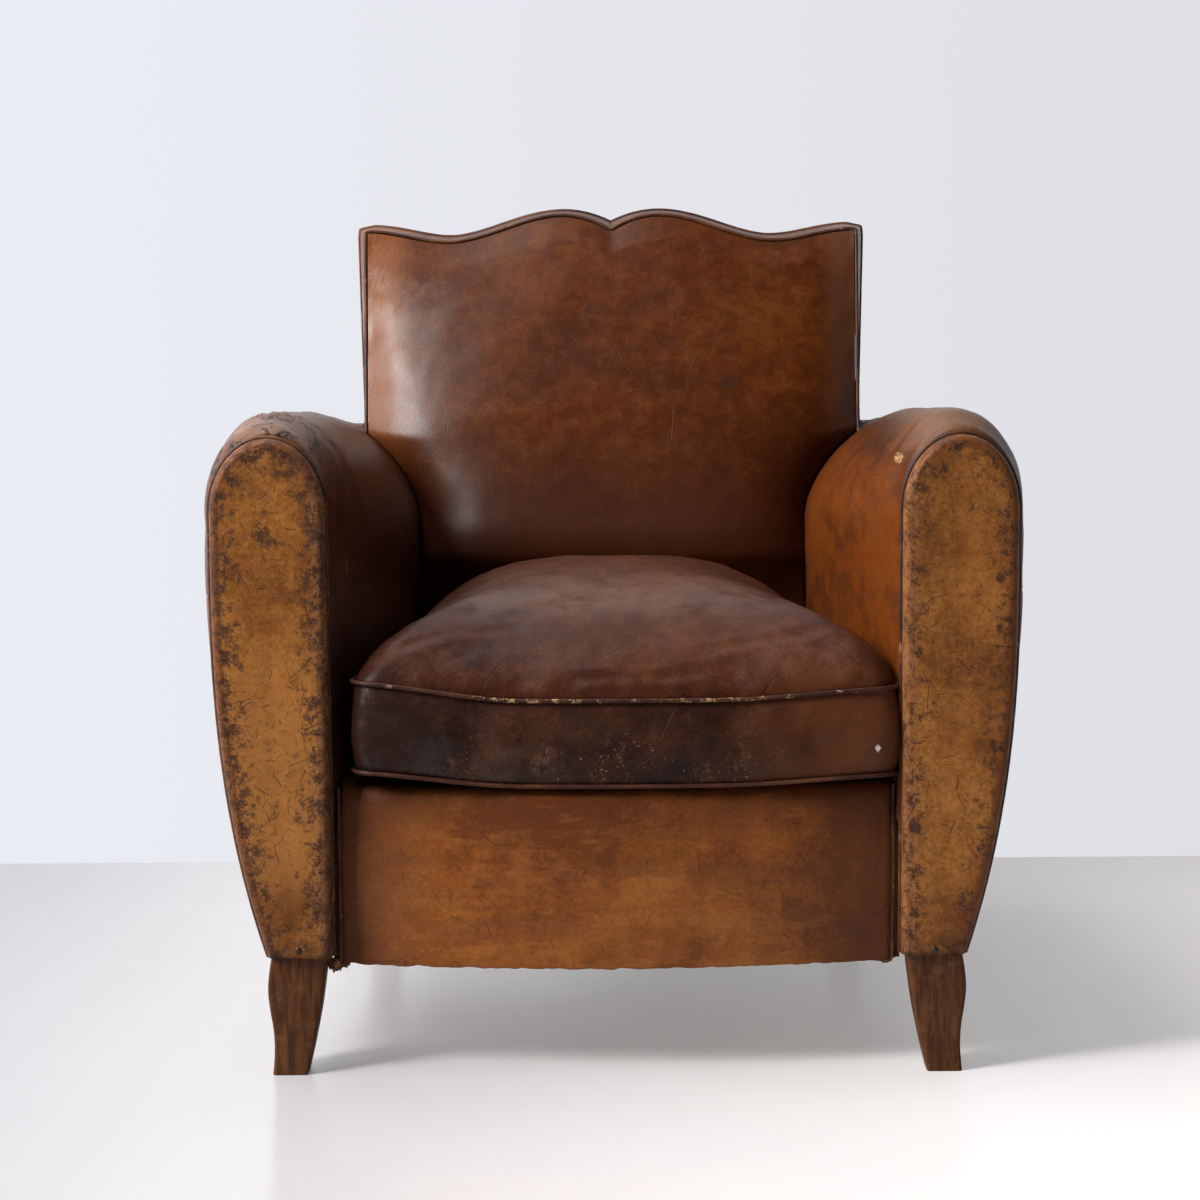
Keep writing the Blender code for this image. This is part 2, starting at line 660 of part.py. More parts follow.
def border_path(out, foot):
    """The edge of the back as (x, z), from the left foot of the border over the moustache to the right foot."""
    sides = [(edge_half(z) + out, z) for z in (foot, 0.68, 0.75)]
    tops = [BACK_TOP_HALF * t for t in (1.0, 0.9, 0.78, 0.66, 0.54, 0.42, 0.31, 0.2, 0.12, 0.06, 0.0)]
    right = sides + [(x + out * (x == tops[0]), top_z(x) + out) for x in tops]
    return [(-x, z) for x, z in right] + [(x, z) for x, z in reversed(right[:-1])]


def border_foot(out, depth):
    """The border starts just above the arm's top."""
    return arm_top_at(BACK_ARM_HALF + out, depth) + BORDER_FOOT_CLEAR


def back_side(z):
    """Half width of the inside back: up to the arms below, out to the piping above them."""
    crown_x, x_in, spring, _, _, top = arm_shape(BACK_SEAT_DEPTH)
    spring += 0.5 * BACK_SIDE_DROP
    rise = min(max((z - BACK_SIDE_DROP - spring) / (top - spring), 0.0), 1.0)
    beside_arm = crown_x - (crown_x - x_in) * math.sqrt(1 - rise * rise)
    return min(beside_arm - BACK_SIDE_CLEAR, edge_half(z) - GAP)


def back_rows():
    """Rows of points over the padded inside back, full in the middle and drawn in to the piping at its edges."""
    rows = []
    for j in range(13):
        v = math.sin(math.pi / 2 * j / 12)
        row = []
        for i in range(15):
            u = math.sin(math.pi / 2 * (2 * i / 14 - 1))
            z = mix(BACK_COVER_FOOT, top_z(u * BACK_TOP_HALF), v)
            edge = (1 - abs(u) ** 3) * min(1.0, 2.6 * (1 - v)) ** 0.6
            low = smooth((z - BACK_BULGE_FROM) / (BACK_SEAT_Z - BACK_BULGE_FROM) / 1.4)
            row.append((u * back_side(z), back_depth(z) - BACK_BULGE * edge * low, z))
        rows.append(row)
    return rows


def webbing_depth(z):
    """Depth of the front of the straps, tacked to the fronts of the lower and the top rail."""
    share = (z - BACK_LOWER_RAIL_Z) / (BACK_DIP - BACK_LOWER_RAIL_Z)
    return mix(post_front(BACK_LOWER_RAIL_Z), post_front(BACK_DIP), share) - 2 * GAP - WEB_THICK


def make_back():
    """Padded inside back, border with piping on both edges, and the flat outside back, over a wooden frame."""
    bm, _ = grid(back_rows())
    layer("inside_back_cover", bm, "hide", LEATHER)
    make_back_stuffing()
    depth = back_depth(BACK_ARM_Z) + WELT_R
    path = border_path(WELT_R, border_foot(2 * WELT_R, depth))
    tube("back_front_welt", [(x, back_depth(z) + WELT_R, z) for x, z in path], WELT_R, "piping")
    front = 2 * WELT_R + GAP
    rows = []
    for share in (0.0, 0.5, 1.0):
        out = WELT_R + BACK_FLARE * share
        foot_depth = mix(back_depth(BACK_ARM_Z) + front, rear_depth(BACK_ARM_Z) - front, share)
        row = []
        for x, z in border_path(out, border_foot(out, foot_depth)):
            row.append((x, mix(back_depth(z) + front, rear_depth(z) - front, share), z))
        rows.append(row)
    bm, _ = grid(rows)
    layer("back_border", bm, "hide", LEATHER)
    path = border_path(WELT_R + BACK_FLARE, border_foot(2 * WELT_R + BACK_FLARE, rear_depth(BACK_ARM_Z)))
    tube("back_rear_welt", [(x, rear_depth(z) - WELT_R, z) for x, z in path], WELT_R, "piping")
    make_outside_back()
    make_back_frame()


def make_back_stuffing():
    """Horsehair that fills the back from the inside leather to the webbing."""
    bm, front = grid(back_rows())
    bm.normal_update()
    under = LEATHER + 2 * GAP
    spots = [[v.co - v.normal * under for v in line] for line in front]
    for line, row in zip(front, spots):
        for v, spot in zip(line, row):
            v.co = spot
            v.co.x *= 1 - STUFFING_SIDE_CLEAR / BACK_TOP_HALF
    rear = [[bm.verts.new((v.co.x, webbing_depth(v.co.z) - GAP, v.co.z)) for v in line] for line in front]
    edge, back = rim_of(front), rim_of(rear)
    for i in range(len(edge)):
        j = (i + 1) % len(edge)
        bm.faces.new((edge[j], edge[i], back[i], back[j]))
    bm.faces.new(back)
    bmesh.ops.recalc_face_normals(bm, faces=bm.faces)
    place("back_stuffing", mesh_from("back_stuffing", bm), "horsehair")


def rim_of(lines):
    """The points round the edge of a grid, in order."""
    right = [line[-1] for line in lines[1:]]
    left = [line[0] for line in lines[-2:0:-1]]
    return lines[0] + right + lines[-1][-2::-1] + left


def make_outside_back():
    """Flat leather from the moustache edge down to the seat frame, wider below the arms."""
    arm_top = border_foot(2 * WELT_R + BACK_FLARE, rear_depth(BACK_ARM_Z)) - WELT_R
    rows = []
    for j in range(7):
        row = []
        for i in range(25):
            x = BACK_TOP_HALF * (2 * i / 24 - 1)
            if j < 3:
                z = mix(BODY_BOTTOM, arm_top - 0.004, j / 2)
                half = REAR_HALF - LEATHER
            else:
                z = mix(arm_top + 0.004, top_z(x) + BACK_FLARE - WELT_R, (j - 3) / 3)
                half = edge_half(z) + BACK_FLARE - 7 * GAP
            row.append((x / BACK_TOP_HALF * half, rear_depth(z) + GAP, z))
        rows.append(row)
    bm, _ = grid(rows)
    bmesh.ops.reverse_faces(bm, faces=bm.faces)
    layer("outside_back_cover", bm, "hide", LEATHER)


def make_back_frame():
    """Two uprights, the moustache-cut top rail and a lower rail, with webbing between them."""
    post_top = BACK_DIP - BACK_TOP_RAIL_HIGH
    inner = POST_OUTER - BACK_POST_WIDE
    for word, side in (("left", -1), ("right", 1)):
        ends = []
        for z in (BODY_BOTTOM + GAP, BACK_SEAT_Z, post_top):
            y0 = post_front(z)
            y1 = y0 + BACK_POST_DEEP
            ends.append([(inner, y0, z), (POST_OUTER, y0, z), (POST_OUTER, y1, z), (inner, y1, z)])
        place(f"back_post_{word}", mesh_from("post", loft(ends), side), "beech")
    half = BACK_TOP_HALF - LEATHER - 2 * GAP
    columns = [half * (2 * i / 20 - 1) for i in range(21)]
    low = post_top + GAP
    outline = [(x, top_z(x) - LEATHER - 4 * GAP) for x in columns] + [(half, low), (-half, low)]
    y0 = post_front(BACK_DIP)
    bm = loft([[(x, y, z) for x, z in outline] for y in (y0, y0 + BACK_POST_DEEP - 0.001)])
    place("back_top_rail", mesh_from("top_rail", bm), "beech")
    half = inner - GAP
    y0 = post_front(BACK_LOWER_RAIL_Z)
    bm = loft([box_ring(-half, half, BACK_LOWER_RAIL_Z, BACK_LOWER_RAIL_Z + BACK_RAIL_HIGH, y)
               for y in (y0, y0 + RAIL_THICK)])
    place("back_lower_rail", mesh_from("lower_rail", bm), "beech")
    bm = strap_grid(strap_cuts(-half, half, WEB_ACROSS),
                    strap_cuts(BACK_LOWER_RAIL_Z, post_top + WEB_TACKED, WEB_UP), 0.0)
    for v in bm.verts:
        v.co = (v.co.x, webbing_depth(v.co.y), v.co.y)
    layer("back_webbing", bm, "canvas", WEB_THICK)


def cushion_outline(out=0.0, steps=5):
    """The cushion's plan as (x, depth): bowed front, round corners, sides that narrow to the back."""
    side = CUSHION_SWELL + CUSHION_SIDE_CLEAR - out
    front = CUSHION_FRONT + CUSHION_BOW - out
    half = inner_x(front + CUSHION_CORNER) - side
    rear = inner_x(CUSHION_BACK) - side
    back = CUSHION_BACK + out
    corner = CUSHION_CORNER
    right = []
    for i in range(4):
        x = (half - corner) * i / 4
        right.append((x, front - CUSHION_BOW * (1 - (x / half) ** 2)))
    start = front - CUSHION_BOW * (1 - ((half - corner) / half) ** 2)
    for i in range(steps):
        angle = math.pi / 2 * i / (steps - 1)
        right.append((half - corner + corner * math.sin(angle), start + corner * (1 - math.cos(angle))))
    for i in range(1, 4):
        depth = mix(start + corner, back - corner, i / 4)
        right.append((inner_x(depth) - side, depth))
    for i in range(steps - 1):
        angle = math.pi / 2 * i / (steps - 2)
        right.append((rear - corner + corner * math.cos(angle), back - corner + corner * math.sin(angle)))
    right.append((0.0, back))
    return right + [(-x, y) for x, y in reversed(right[1:-1])]


def cushion_dome(foot, out=0.0):
    """Rings from the cushion's top seam up to its crown."""
    edge = cushion_outline(out)
    rings = []
    for scale, rise in ((1.0, 0.0), (0.93, 0.36), (0.78, 0.70), (0.52, 0.92), (0.24, 1.0)):
        z = foot + CUSHION_CROWN * rise
        rings.append([(x * scale, mix(CUSHION_CROWN_DEPTH, y, scale), z) for x, y in edge])
    return rings


def make_cushion():
    """Filling in a leather case of a domed top, a wall and a flat bottom, piped along both seams."""
    low = SEAT_TOP + GAP
    seam = low + CUSHION_WALL
    bm, lines = grid(cushion_dome(seam), closed=True)
    bm.faces.new(lines[-1])
    layer("cushion_top_cover", bm, "dark_hide", LEATHER)
    wall_low = low + LEATHER + GAP
    wall_high = seam - LEATHER - GAP
    rows = []
    for share, out in ((0.0, 0.0), (0.35, 1.0), (0.7, 0.9), (1.0, 0.0)):
        z = mix(wall_low, wall_high, share)
        rows.append([(x, y, z) for x, y in cushion_outline(CUSHION_SWELL * out)])
    bm, _ = grid(rows, closed=True)
    layer("cushion_boxing", bm, "dark_hide", LEATHER)
    bm = loft([[(x, y, z) for x, y in cushion_outline()] for z in (low, low + LEATHER)])
    place("cushion_bottom_cover", mesh_from("bottom", bm), "dark_hide")
    for word, z in (("top", seam - WELT_R / 2), ("bottom", low + WELT_R)):
        path = [(x, y, z) for x, y in cushion_outline(WELT_R + GAP + 0.0002)]
        tube(f"cushion_{word}_welt", path, WELT_R, "piping", cyclic=True)
    inside = -LEATHER - 4 * GAP
    rings = [[(x, y, z) for x, y in cushion_outline(inside)] for z in (wall_low, wall_high)]
    rings += [[(x, y, z - LEATHER - 6 * GAP) for x, y, z in line] for line in cushion_dome(seam, inside)[1:]]
    place("cushion_filling", mesh_from("filling", loft(rings)), "horsehair")


def main():
    clear_scene()
    chair = bpy.data.objects.new("chair", None)
    bpy.context.scene.collection.objects.link(chair)
    front = CUSHION_FRONT - CUSHION_SWELL
    rear = REAR_DEPTH - REAR_LEG_SET + REAR_LEG_RAKE - REAR_LEG_THIN
    chair.location = (0, -(front + rear) / 2, 0)
    for word, side in (("left", -1), ("right", 1)):
        make_facings(word, side)
        make_arm(word, side)
        make_legs(word, side)
    make_seat_frame()
    make_seat()
    make_back()
    make_cushion()


main()
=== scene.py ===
"""The worn leather club chair as it stands in its photograph: each cover, cord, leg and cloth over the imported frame."""

import math

import bmesh
import bpy
import numpy as np
from mathutils import Matrix, Vector, noise


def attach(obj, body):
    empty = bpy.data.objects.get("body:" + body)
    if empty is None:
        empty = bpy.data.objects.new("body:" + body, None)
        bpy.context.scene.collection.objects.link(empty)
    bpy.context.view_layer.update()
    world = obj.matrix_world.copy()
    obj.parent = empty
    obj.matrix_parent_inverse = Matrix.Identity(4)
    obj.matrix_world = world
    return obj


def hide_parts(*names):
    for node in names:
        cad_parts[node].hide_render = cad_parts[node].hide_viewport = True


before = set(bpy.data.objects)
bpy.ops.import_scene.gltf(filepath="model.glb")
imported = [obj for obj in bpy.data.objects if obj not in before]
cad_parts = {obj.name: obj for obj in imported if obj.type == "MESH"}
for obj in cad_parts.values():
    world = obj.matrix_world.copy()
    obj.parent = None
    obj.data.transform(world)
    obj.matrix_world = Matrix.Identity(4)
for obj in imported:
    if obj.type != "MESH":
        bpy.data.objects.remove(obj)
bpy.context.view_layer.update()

# ---------------------------------------------------------------------------------------------------------------
# Room: a glossy white painted floor and a white wall close behind the chair, lit by a large window on the left
# that the wall and the ceiling soften. It holds the camera and the few tools that every later part uses.

Y0 = -0.3695


class Shade:
    """A number, colour or vector inside a material, on which ordinary arithmetic adds the nodes."""

    def __init__(self, tree, socket=None):
        self.tree = tree
        self.socket = socket

    def node(self, kind, settings=None, inputs=None, output=0):
        """Adds a node: first its settings, then its sockets by name or number, each a plain value or a Shade."""
        made = self.tree.nodes.new(kind)
        for key, setting in (settings or {}).items():
            setattr(made, key, setting)
        for key, value in (inputs or {}).items():
            if isinstance(value, Shade):
                self.tree.links.new(value.socket, made.inputs[key])
            else:
                made.inputs[key].default_value = value
        return Shade(self.tree, made.outputs[output])

    def calc(self, operation, *terms):
        return self.node("ShaderNodeMath", {"operation": operation}, dict(enumerate(terms)))

    def __add__(self, other):
        return self.calc("ADD", self, other)

    def __radd__(self, other):
        return self.calc("ADD", other, self)

    def __sub__(self, other):
        return self.calc("SUBTRACT", self, other)

    def __rsub__(self, other):
        return self.calc("SUBTRACT", other, self)

    def __mul__(self, other):
        return self.calc("MULTIPLY", self, other)

    def __rmul__(self, other):
        return self.calc("MULTIPLY", other, self)

    def __truediv__(self, other):
        return self.calc("DIVIDE", self, other)

    def __rtruediv__(self, other):
        return self.calc("DIVIDE", other, self)

    def __pow__(self, other):
        return self.calc("POWER", self, other)

    def __neg__(self):
        return self.calc("MULTIPLY", self, -1.0)

    def most(self, other):
        return self.calc("MAXIMUM", self, other)

    def least(self, other):
        return self.calc("MINIMUM", self, other)

    def between(self, low, high):
        """0 up to low, 1 from high, and a soft slope from one to the other. With low above high it falls."""
        return self.node("ShaderNodeMapRange", {"interpolation_type": "SMOOTHSTEP"},
                         {"Value": self, "From Min": low, "From Max": high})

    def blend(self, one, two):
        """The colour one where this is 0 and the colour two where it is 1."""
        return self.node("ShaderNodeMix", {"data_type": "RGBA"}, {0: self, 6: one, 7: two}, 2)

    def tint(self, other):
        """This colour times another."""
        return self.node("ShaderNodeMix", {"data_type": "RGBA", "blend_type": "MULTIPLY"}, {0: 1.0, 6: self, 7: other}, 2)

    def scaled(self, x, y, z):
        """This vector with each axis multiplied."""
        return self.node("ShaderNodeVectorMath", {"operation": "MULTIPLY"}, {0: self, 1: (x, y, z)})

    def moved(self, other):
        return self.node("ShaderNodeVectorMath", {"operation": "ADD"}, {0: self, 1: other})

    def axis(self, name):
        return self.node("ShaderNodeSeparateXYZ", None, {0: self}, "XYZ".index(name))

    def cloud(self, scale, detail=4.0, rough=0.55, twist=0.0):
        """Soft noise from 0 to 1 at this place."""
        return self.node("ShaderNodeTexNoise", {"noise_dimensions": "3D"},
                         {"Vector": self, "Scale": scale, "Detail": detail, "Roughness": rough, "Distortion": twist})

    def cells(self, scale, feature="DISTANCE_TO_EDGE", random=1.0):
        """Distance to the edges, or to the middles, of scattered cells at this place."""
        return self.node("ShaderNodeTexVoronoi", {"feature": feature},
                         {"Vector": self, "Scale": scale, "Randomness": random})

    def near(self, spot, reach):
        """1 at a spot, given in metres, and 0 from reach on: a number, or one reach for each axis."""
        reach = (reach,) * 3 if isinstance(reach, float) else reach
        offset = self.moved(tuple(-c for c in spot)).scaled(*(1 / r for r in reach))
        return self.node("ShaderNodeVectorMath", {"operation": "LENGTH"}, {0: offset}, 1).between(1.0, 0.0)


def paint(name):
    """A new material, with its Principled shader and the place on the object in metres."""
    material = bpy.data.materials.new(name)
    material.use_nodes = True
    tree = material.node_tree
    place = Shade(tree).node("ShaderNodeTexCoord", None, None, "Object")
    return material, tree.nodes["Principled BSDF"], place


def coat(shader, height=None, depth=0.0005, **parts):
    """Feeds the shader's sockets, and its Normal from a height between 0 and 1 that stands for depth in metres."""
    tree = shader.id_data
    for name, value in parts.items():
        socket = shader.inputs[name.replace("_", " ")]
        if isinstance(value, Shade):
            tree.links.new(value.socket, socket)
        else:
            socket.default_value = value
    if height is not None:
        bump = Shade(tree).node("ShaderNodeBump", None, {"Strength": 1.0, "Distance": depth, "Height": height})
        tree.links.new(bump.socket, shader.inputs["Normal"])


def plain(name, corners, material):
    """A flat four-sided piece of the room."""
    mesh = bpy.data.meshes.new(name)
    mesh.from_pydata(corners, [], [(0, 1, 2, 3)])
    thing = bpy.data.objects.new(name, mesh)
    bpy.context.scene.collection.objects.link(thing)
    mesh.materials.append(material)
    return thing


WALL_Y = 0.62
wall_paint, shader, place = paint("wall_paint")
seen = place.node("ShaderNodeLightPath", None, None, "Is Camera Ray")
across = place.axis("X").between(-0.9, 1.1)
behind = place.node("ShaderNodeNewGeometry", None, None, "Backfacing")
# Painted light: to the camera the wall glows, brighter at the left and dimmer to the right; lamps and bounces see it
# as plain white.
painted_wall_light = across.blend((0.82, 0.84, 0.89, 1), (0.73, 0.735, 0.775, 1))
coat(shader, Base_Color=seen.blend((0.80, 0.81, 0.84, 1), (0, 0, 0, 1)), Roughness=0.9, Specular_IOR_Level=0.0,
     Emission_Color=seen.blend((0, 0, 0, 1), painted_wall_light), Emission_Strength=1.0, Alpha=1.0 - behind)
wall = plain("wall", [(-4, WALL_Y, 0), (4, WALL_Y, 0), (4, WALL_Y, 3.2), (-4, WALL_Y, 3.2)], wall_paint)
floor_paint, shader, place = paint("floor_paint")
worn = place.cloud(1.3, 5.0).between(0.35, 0.75)
seen = place.node("ShaderNodeLightPath", None, None, "Is Camera Ray")
# Painted light: the floor's colour is darker at the left, where the window's light pools, and to the camera it glows
# brighter towards the right, which lightens the chair's shadow there.
coat(shader, height=place.cloud(6.0, 3.0), depth=0.0006,
     Base_Color=place.axis("X").between(-1.1, 0.7).blend((0.20, 0.20, 0.215, 1), (0.86, 0.83, 0.82, 1)), Roughness=0.16 + 0.1 * worn,
     Emission_Color=seen.blend((0, 0, 0, 1), place.axis("X").between(-0.8, 0.9).blend((0.13, 0.13, 0.14, 1), (0.34, 0.33, 0.325, 1))),
     Emission_Strength=1.0, Alpha=1.0 - place.node("ShaderNodeNewGeometry", None, None, "Backfacing"))
floor = plain("floor", [(-4, -5, 0), (4, -5, 0), (4, WALL_Y, 0), (-4, WALL_Y, 0)], floor_paint)

world = bpy.data.worlds.new("room_light")
bpy.context.scene.world = world
world.use_nodes = True
tree = world.node_tree
camera_ray = Shade(tree).node("ShaderNodeLightPath", None, None, "Is Camera Ray")
sky = camera_ray.blend((0.07, 0.07, 0.075, 1), (0.9, 0.9, 0.92, 1))
tree.links.new(sky.socket, tree.nodes["Background"].inputs["Color"])


def window(name, at, to, wide, high, watts, colour):
    """A rectangular light that faces a point."""
    light = bpy.data.lights.new(name, "AREA")
    light.shape = "RECTANGLE"
    light.size, light.size_y, light.energy, light.color = wide, high, watts, colour
    thing = bpy.data.objects.new(name, light)
    bpy.context.scene.collection.objects.link(thing)
    thing.location = at
    thing.rotation_euler = (Vector(to) - Vector(at)).to_track_quat("-Z", "Y").to_euler()
    return thing


for thing in (window("window", (-2.4, -1.6, 2.5), (-0.1, -0.1, 0.55), 0.8, 1.5, 135, (1.0, 0.99, 0.98)),
              window("ceiling", (-0.7, 0.1, 2.9), (0, 0.0, 0.2), 2.2, 0.9, 42, (1.0, 1.0, 1.0)),
              window("side_fill", (-3.2, -0.6, 1.3), (0, 0, 0.45), 1.6, 1.6, 45, (1.0, 0.99, 0.98))):
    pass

camera = bpy.data.objects.new("camera", bpy.data.cameras.new("camera"))
bpy.context.scene.collection.objects.link(camera)
bpy.context.scene.camera = camera
camera.data.lens = 3373 / 1200 * 36
pitch, roll, yaw = (math.radians(angle) for angle in (7.72, -0.39, -0.09))
ahead = Vector((math.sin(yaw) * math.cos(pitch), math.cos(yaw) * math.cos(pitch), -math.sin(pitch)))
level = Vector((math.cos(yaw), -math.sin(yaw), 0))
right = math.cos(roll) * level + math.sin(roll) * level.cross(ahead)
camera.matrix_world = Matrix.Translation((-0.009, -3.2 + Y0, 0.9)) @ Matrix(
    (right, right.cross(ahead), -ahead)).transposed().to_4x4()
bpy.context.scene.view_settings.view_transform = "Standard"

# ---------------------------------------------------------------------------------------------------------------
# Arm facings: tan hide drawn over a shaped board, its front edge padded round, with a cord of piping in the
# seam against the arm. One round-headed nail holds each at the foot. The left one is the more scratched.

GAP = 0.0003
WELT_R = 0.0023
LEATHER = 0.0020
FACING_HALF = 0.386
FACING_INNER = 0.2785
FACING_FOOT_HALF = 0.337
FACING_TOP = 0.6205
FACING_ARCH_SPRING = 0.550
FACING_TAPER_TOP = 0.500
BODY_BOTTOM = 0.1165
FACING_THICK = 0.0150
FACING_ROUND = 0.0090


def mix(a, b, t):
    return a + (b - a) * t


def smooth(t):
    t = np.clip(t, 0.0, 1.0)
    return t * t * (3 - 2 * t)


def taper_x(z):
    share = np.maximum(FACING_TAPER_TOP - z, 0) / (FACING_TAPER_TOP - BODY_BOTTOM)
    return FACING_HALF - (FACING_HALF - FACING_FOOT_HALF) * share**2.5


def even(points, count):
    """The line through these points as count points spread evenly by length."""
    points = np.asarray(points, float)
    length = np.concatenate([[0], np.cumsum(np.linalg.norm(np.diff(points, axis=0), axis=1))])
    wanted = np.linspace(0, length[-1], count)
    return np.stack([np.interp(wanted, length, points[:, k]) for k in range(points.shape[1])], axis=1)


def facing_outline(count):
    """(x, z) from the inner foot over the arch to the outer foot."""
    centre = (FACING_INNER + FACING_HALF) / 2
    angle = np.linspace(math.pi, 0, 60)
    arch = np.stack([centre + (FACING_HALF - centre) * np.cos(angle),
                     FACING_ARCH_SPRING + (FACING_TOP - FACING_ARCH_SPRING) * np.sin(angle)], axis=1)
    z = np.linspace(FACING_TAPER_TOP, BODY_BOTTOM, 40)
    inner = even(np.concatenate([[(FACING_INNER, BODY_BOTTOM)], arch[:30]]), count // 2)
    outer = even(np.concatenate([arch[30:], np.stack([taper_x(z), z], axis=1)]), count // 2)
    return np.concatenate([inner, outer])


def pushed_out(outline, distance):
    """A line of (x, z) points moved to its left hand side."""
    along = np.gradient(outline, axis=0)
    along /= np.linalg.norm(along, axis=1, keepdims=True)
    return outline + distance * np.stack([-along[:, 1], along[:, 0]], axis=1)


def rough(points, scale, octaves=4, seed=0.0):
    """Fractal unevenness from about -1 to 1 at each point of an array that ends in (x, y, z)."""
    flat = points.reshape(-1, 3) * scale + seed
    values = [noise.fractal(Vector(p), 0.9, 2.1, octaves) for p in flat]
    return np.array(values).reshape(points.shape[:-1])


def outward(rows):
    """Unit normals of a grid of points, to the side from which its rows run left to right going up."""
    normal = np.cross(np.gradient(rows, axis=1), np.gradient(rows, axis=0))
    return normal / np.maximum(np.linalg.norm(normal, axis=2, keepdims=True), 1e-9)


def raised(rows, height):
    """The grid with each point lifted along its normal."""
    return rows + outward(rows) * height[..., None]


def mesh_of(name, points, faces, material, smooth_angle=50):
    mesh = bpy.data.meshes.new(name)
    mesh.from_pydata([tuple(p) for p in points], [], faces)
    bm = bmesh.new()
    bm.from_mesh(mesh)
    bmesh.ops.remove_doubles(bm, verts=bm.verts, dist=1e-5)
    bm.to_mesh(mesh)
    bm.free()
    mesh.validate()
    thing = bpy.data.objects.new(name, mesh)
    bpy.context.scene.collection.objects.link(thing)
    mesh.materials.append(material)
    mesh.shade_smooth()
    mesh.set_sharp_from_angle(angle=math.radians(smooth_angle))
    return thing


def sheet_of(name, rows, material, side=1, thick=LEATHER, closed=False, cap=False):
    """Leather whose outer face is a grid of chair places. side -1 makes the mirrored one, and thick lies inside."""
    rows = np.array(rows, float)
    rows[..., 0] *= side
    rows[..., 1] += Y0
    high, wide = rows.shape[:2]
    faces = []
    for j in range(high - 1):
        for i in range(wide if closed else wide - 1):
            k = (i + 1) % wide
            faces.append((j * wide + i, j * wide + k, (j + 1) * wide + k, (j + 1) * wide + i))
    if cap:
        faces.append(tuple((high - 1) * wide + i for i in range(wide)))
    if side < 0:
        faces = [face[::-1] for face in faces]
    thing = mesh_of(name, rows.reshape(-1, 3), faces, material)
    if thick:
        solid = thing.modifiers.new("thickness", "SOLIDIFY")
        solid.thickness = thick
        solid.offset = -1
    return thing


def cord_of(name, path, radius, material, side=1, closed=False, sides=10, wear=0.12):
    """Piping: a cord in a strip of leather, a little uneven along its length."""
    path = np.array(path, float)
    path[:, 0] *= side
    path[:, 1] += Y0
    if closed:
        along = np.roll(path, -1, axis=0) - np.roll(path, 1, axis=0)
    else:
        along = np.gradient(path, axis=0)
    along /= np.linalg.norm(along, axis=1, keepdims=True)
    up = np.cross(along[0], (0.3, 1.0, 0.2))
    points = []
    for centre, way in zip(path, along):
        up = up - way * np.dot(up, way)
        up /= np.linalg.norm(up)
        over = np.cross(way, up)
        size = radius * (1 - wear * abs(noise.noise(Vector(centre * 90))))
        for k in range(sides):
            angle = 2 * math.pi * k / sides
            points.append(centre + size * (math.cos(angle) * up + math.sin(angle) * over))
    faces = []
    count = len(path)
    for j in range(count if closed else count - 1):
        n = (j + 1) % count
        for i in range(sides):
            k = (i + 1) % sides
            faces.append((j * sides + i, j * sides + k, n * sides + k, n * sides + i))
    if not closed:
        faces += [tuple(reversed(range(sides))), tuple((count - 1) * sides + k for k in range(sides))]
    return mesh_of(name, points, faces, material)


def piece(thing, *nodes, finish):
    """Makes a mesh part of the chair, in place of the CAD nodes named."""
    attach(thing, "root")
    if nodes:
        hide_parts(*nodes)
    return thing


def hide(name, dark, middle, light, patch=4.0, fleck=30.0, shift=0.0, stretch=(1.0, 1.0, 1.0), patchy=0.52):
    """Old aniline leather: broad patches and small flecks of three tones, with pores, a grain and fine cracks."""
    material, shader, place = paint(name)
    spot = place.scaled(*stretch).moved((shift, shift, shift))
    broad = spot.cloud(patch, 3.0, 0.5, 0.1)
    small = spot.cloud(fleck, 6.0, 0.7, 0.5)
    tone = patchy * broad + (0.80 - patchy) * small + 0.20 * spot.cloud(fleck * 6, 3.0, 0.7)
    colour = tone.between(0.41, 0.52).blend((*dark, 1), (*middle, 1))
    colour = tone.between(0.50, 0.61).blend(colour, (*light, 1))
    grain = spot.cells(620.0).between(0.0, 0.35)
    cracks = spot.moved(spot.node("ShaderNodeTexNoise", None, {"Vector": spot, "Scale": 40.0}, 1).scaled(0.01, 0.01, 0.01))
    cracks = cracks.cells(150.0).between(0.08, 0.0) * small.between(0.45, 0.62)
    height = 0.06 * grain + 0.25 * spot.cloud(fleck, 1.5, 0.5) - 0.35 * cracks
    return material, shader, place, colour, height, tone


def scratches(place, turn, size, width, share, seed=0.0):
    """Short thin scores, each at its own angle, from 0 to 1. turn brings the surface into the XY plane, size is
    the space that each has in metres, and share is how many spaces hold one."""
    flat = place.node("ShaderNodeVectorRotate", {"rotation_type": "EULER_XYZ"}, {"Vector": place, "Rotation": turn})
    bend = flat.node("ShaderNodeTexNoise", None, {"Vector": flat, "Scale": 0.25 / size}, 1)
    flat = flat.moved((seed, seed, 0)).moved(bend.scaled(0.5 * size, 0.5 * size, 0.0)).scaled(1 / size, 1 / size, 0.0)
    cells = flat.tree.nodes.new("ShaderNodeTexVoronoi")
    cells.voronoi_dimensions = "2D"
    cells.inputs["Scale"].default_value = 1.0
    flat.tree.links.new(flat.socket, cells.inputs["Vector"])
    chance = Shade(flat.tree, cells.outputs["Color"])
    middle = Shade(flat.tree, cells.outputs["Position"])
    way = flat.node("ShaderNodeVectorMath", {"operation": "SUBTRACT"}, {0: flat, 1: middle})
    turned = way.node("ShaderNodeVectorRotate", {"rotation_type": "Z_AXIS"},
                      {"Vector": way, "Angle": chance.axis("X") * 6.283})
    across, along = turned.axis("Y"), turned.axis("X")
    line = across.calc("ABSOLUTE", across).between(width / size, 0.3 * width / size)
    reach = 0.12 + 0.36 * chance.axis("Y")
    fade = (along.calc("ABSOLUTE", along) / reach).between(1.0, 0.6)
    kept = chance.axis("Z").between(1.0 - share, 1.0 - share + 0.05)
    return line * fade * kept


